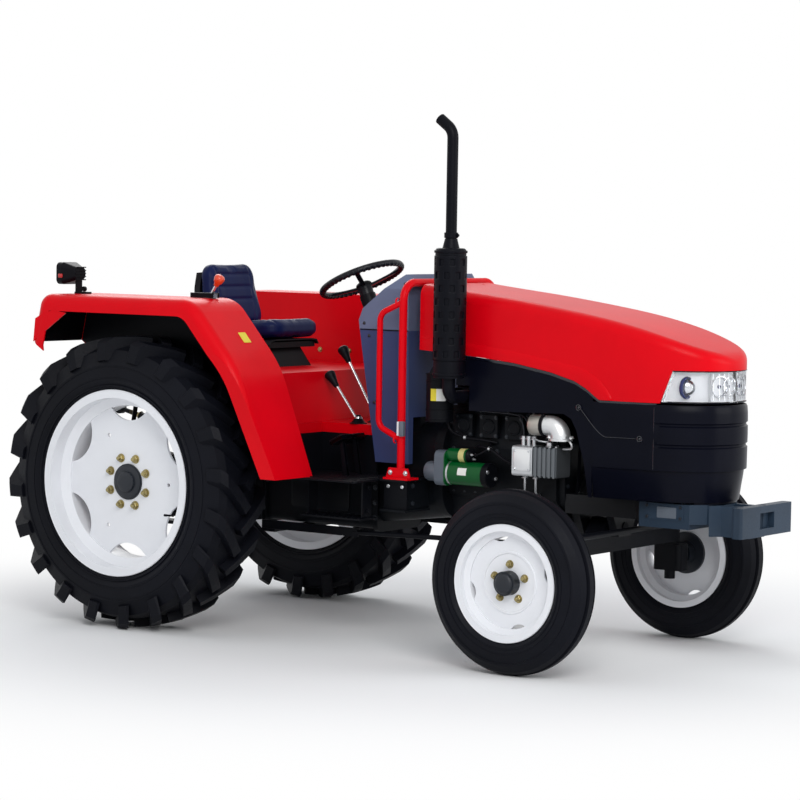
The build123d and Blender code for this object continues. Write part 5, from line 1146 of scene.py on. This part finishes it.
# Front support and kingpins: raised panels with an inset, bolts, and a cap with a grease nipple.
KINGPIN_Y = 520
KINGPIN_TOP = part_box("knuckle_right")[1][2] * 1000
for side, side_name in SIDES:
    with piece(f"support_panel_{side_name}", blue_casting) as panel:
        add_plate(panel, at(2250, side * 170.6, 607), BACKWARD * side, UP, 172, 62, 6, 1.6)
    with piece(f"support_inset_{side_name}", grey_iron) as inset:
        add_plate(inset, at(2262, side * 172.0, 605), BACKWARD * side, UP, 84, 42, 4, 1.8)
    with piece(f"support_bolts_{side_name}", dark_iron) as bolts:
        for x in (2176, 2322):
            hexes(bolts, [(x, side * 171, 586), (x, side * 171, 628)], LEFT * side, 6.5, 6)
        for x in (FRONT_X - 79, FRONT_X + 79):
            hexes(bolts, [(x, side * 62, 641)], UP, 10, 9)
    with piece(f"kingpin_cap_{side_name}", dark_iron, f"knuckle_{side_name}") as king:
        top = at(FRONT_X, side * KINGPIN_Y, KINGPIN_TOP)
        add_round(king, top, UP, [(0, 20), (6, 20), (9, 15), (10, 7)], 28)
        add_round(king, top + UP * 0.009, UP, [(0, 4), (6, 4), (6.5, 2.6), (10, 2.6), (12, 3.4)], 12)

# Driveline: housing and bracket bolts, side covers, a breather, and the power take-off's splines.
SHAFT_Z = 600
with piece("driveline_bolts", dark_iron) as bolts:
    for side in (1, -1):
        for x in (300, 880):
            hexes(bolts, [(x, side * 155.5, 480 + 62 * n) for n in range(5)], LEFT * side, 9, 7)
        for spot in circle(at(0, side * 425.3, REAR_Z), LEFT, 0, 98, 8, pi / 8):
            add_hex(bolts, spot, RIGHT * side, 8, 7)
        hexes(bolts, [(-60 + 65 * n, side * 112, 975) for n in range(4)], UP, 9, 8)
        hexes(bolts, [(1082, side * 262, 669), (1142, side * 290, 669)], UP, 8, 7)
        for x, out in ((1055, BACKWARD), (1169, FORWARD)):
            hexes(bolts, [(x, side * 300, 640), (x, side * 300, 570)], out, 8, 6)
    for x, reach, count, first, radius, height in ((-185, 78, 8, 0, 8, 6), (-205, 40, 4, pi / 4, 6, 5)):
        for spot in circle(at(x, 0, SHAFT_Z), BACKWARD, 0, reach, count, first):
            add_hex(bolts, spot, BACKWARD, radius, height)
with piece("driveline_covers", casting_black) as covers:
    for side in (1, -1):
        add_plate(covers, at(590, side * 141, 560), BACKWARD * side, UP, 300, 130, 18, 5, crown=2)
    add_round(covers, at(40, 0, 975), UP, [(0, 30), (10, 30), (12, 24), (30, 22), (33, 10)], 24)
with piece("shaft_splines", steel) as splines:
    for n in range(6):
        a = radians(60 * n)
        d, v = Vector((0, cos(a), sin(a))), Vector((0, -sin(a), cos(a)))
        tooth = [d * reach + v * half for reach, half in
                 ((0.0166, 0.0046), (0.0186, 0.0040), (0.0186, -0.0040), (0.0166, -0.0046))]
        add_prism(splines, tooth, at(-214, 0, SHAFT_Z), at(-276, 0, SHAFT_Z))
    add_ring(splines, at(-262, 0, SHAFT_Z), BACKWARD, [(0, 16), (0, 18), (4, 18), (4, 16)], 28)

# Hitch: washers and nuts on the links' pins, a sleeve on each lift rod, nuts and thread on the top link.
LINK_Y, LINK_Z = 223, 445
with piece("link_washers", zinc) as washers:
    for side in (1, -1):
        add_ring(washers, at(40, side * LINK_Y, LINK_Z), LEFT * side,
                 [(0, 10.5), (0, 17), (4, 17), (4, 10.5)], 24)
    hexes(washers, [(-208, 26, 752.5), (-208, -26, 752.5)], FORWARD, 3, 2)
for side, side_name in SIDES:
    with piece(f"link_nut_{side_name}", zinc, "lower_links") as nut:
        hexes(nut, [(-410, side * 236.5, LINK_Z)], RIGHT * side, 15, 9)
    with piece(f"arm_nut_{side_name}", zinc, "lift_arms") as nut:
        hexes(nut, [(-330, side * 264, 905)], LEFT * side, 14, 7)
    low, high = at(-405, side * 250, 475), at(-333, side * 250, 887)
    d = (high - low).normalized()
    with piece(f"rod_sleeve_{side_name}", black_paint, "lift_rods") as sleeve:
        add_round(sleeve, low + d * 0.06, d, [(0, 11), (0.5, 15), (120, 15), (121, 11)], 20)
        add_hex(sleeve, low + d * 0.185, d, 15, 12)
low, high = at(-330, 0, 767.8), at(-520, 0, 813.3)
d = (high - low).normalized()
with piece("top_link_nuts", zinc, "top_link") as turn:
    for spot in (low - d * 0.012, high + d * 0.003):
        add_hex(turn, spot, d, 16, 10)
    for k in range(9):
        add_ring(turn, high + d * (0.020 + k * 0.005), d, [(0, 9.5), (1.2, 10.9), (2.4, 9.5)], 20)

# Camera: it looks along the direction that was fitted to the photograph, with a slight roll.
CAMERA_AT = at(7650, -9429, 1704)
CAMERA_AZIMUTH = radians(35.66)
CAMERA_ELEVATION = radians(3.69)
CAMERA_ROLL = radians(0.96)
LENS_MM = 127.0


def add_camera():
    """The photograph's camera."""
    level = cos(CAMERA_ELEVATION)
    back = Vector((sin(CAMERA_AZIMUTH) * level, -cos(CAMERA_AZIMUTH) * level, sin(CAMERA_ELEVATION)))
    right = UP.cross(back).normalized()
    up = back.cross(right)
    turned_right = right * cos(CAMERA_ROLL) + up * sin(CAMERA_ROLL)
    turned_up = up * cos(CAMERA_ROLL) - right * sin(CAMERA_ROLL)
    data = bpy.data.cameras.new("camera")
    data.lens = LENS_MM
    data.sensor_width = 36
    data.clip_end = 100
    obj = add_object("camera", data)
    basis = Matrix((turned_right, turned_up, back)).transposed().to_4x4()
    obj.matrix_world = Matrix.Translation(CAMERA_AT) @ basis
    bpy.context.scene.camera = obj


def area_light(name, place, target, size, power):
    """A square lamp that faces a target."""
    data = bpy.data.lights.new(name, "AREA")
    data.shape = "RECTANGLE"
    data.size = data.size_y = size
    data.energy = power
    turn = (Vector(target) - Vector(place)).to_track_quat("-Z", "Y").to_matrix().to_4x4()
    add_object(name, data).matrix_world = Matrix.Translation(place) @ turn


def mix_shaders(tree, share, first, second, output):
    """Shows a share of the second shader over the first."""
    mix = add_node(tree, "MixShader", {"Fac": share})
    tree.links.new(first, mix.inputs[1])
    tree.links.new(second, mix.inputs[2])
    tree.links.new(mix.outputs["Shader"], tree.nodes[output].inputs["Surface"])


def combine(tree, operation, first, second):
    """Two values joined by a kind of arithmetic."""
    node = add_node(tree, "Math")
    node.operation = operation
    tree.links.new(first, node.inputs[0])
    tree.links.new(second, node.inputs[1])
    return node.outputs["Value"]


def add_world():
    """A soft grey sky that is plain white to the camera, in mirrors and through glass."""
    world = bpy.data.worlds.new("studio")
    world.use_nodes = True
    tree = world.node_tree
    plain = tree.nodes["Background"]
    feed(tree, plain, {"Color": (0.93, 0.96, 1.0, 1), "Strength": 0.6})
    rays = add_node(tree, "LightPath").outputs
    seen = combine(tree, "MAXIMUM", rays["Is Camera Ray"], rays["Is Glossy Ray"])
    seen = combine(tree, "MAXIMUM", seen, rays["Is Transmission Ray"])
    white = add_node(tree, "Background", {"Color": (1, 1, 1, 1), "Strength": 1.0})
    mix_shaders(tree, seen, plain.outputs["Background"], white.outputs["Background"], "World Output")
    bpy.context.scene.world = world


def add_floor():
    """A pale floor that keeps the shadow, and turns white to the camera away from it."""
    reach = 40
    mesh = bpy.data.meshes.new("floor")
    corners = [(-reach, -reach, 0), (reach, -reach, 0), (reach, reach, 0), (-reach, reach, 0)]
    mesh.from_pydata(corners, [], [(0, 1, 2, 3)])
    floor = add_object("floor", mesh)
    mat, tree, shader = new_material("studio floor")
    feed(tree, shader, {"Base Color": (0.94, 0.94, 0.94, 1), "Roughness": 0.9, "Specular IOR Level": 0.0})
    away = add_node(tree, "VectorMath")
    away.operation = "LENGTH"
    tree.links.new(object_place(tree), away.inputs[0])
    fade = add_node(tree, "MapRange", {"Value": away.outputs["Value"], "From Min": 1.5, "From Max": 3.2})
    fade.interpolation_type = "SMOOTHSTEP"
    seen = add_node(tree, "LightPath").outputs["Is Camera Ray"]
    share = combine(tree, "MULTIPLY", fade.outputs["Result"], seen)
    white = add_node(tree, "Emission", {"Color": (1, 1, 1, 1), "Strength": 1.0})
    mix_shaders(tree, share, shader.outputs["BSDF"], white.outputs["Emission"], "Material Output")
    mesh.materials.append(mat)


add_camera()
add_world()
add_floor()
area_light("key", (6.5, -7.0, 6.5), (0.3, -0.3, 0.8), 5, 520)
area_light("fill", (9.0, 3.0, 3.0), (0.6, 0, 0.7), 4, 150)
area_light("back", (-6.0, 5.0, 6.0), (0, 0, 0.8), 5, 240)
bpy.context.scene.view_settings.view_transform = "Standard"

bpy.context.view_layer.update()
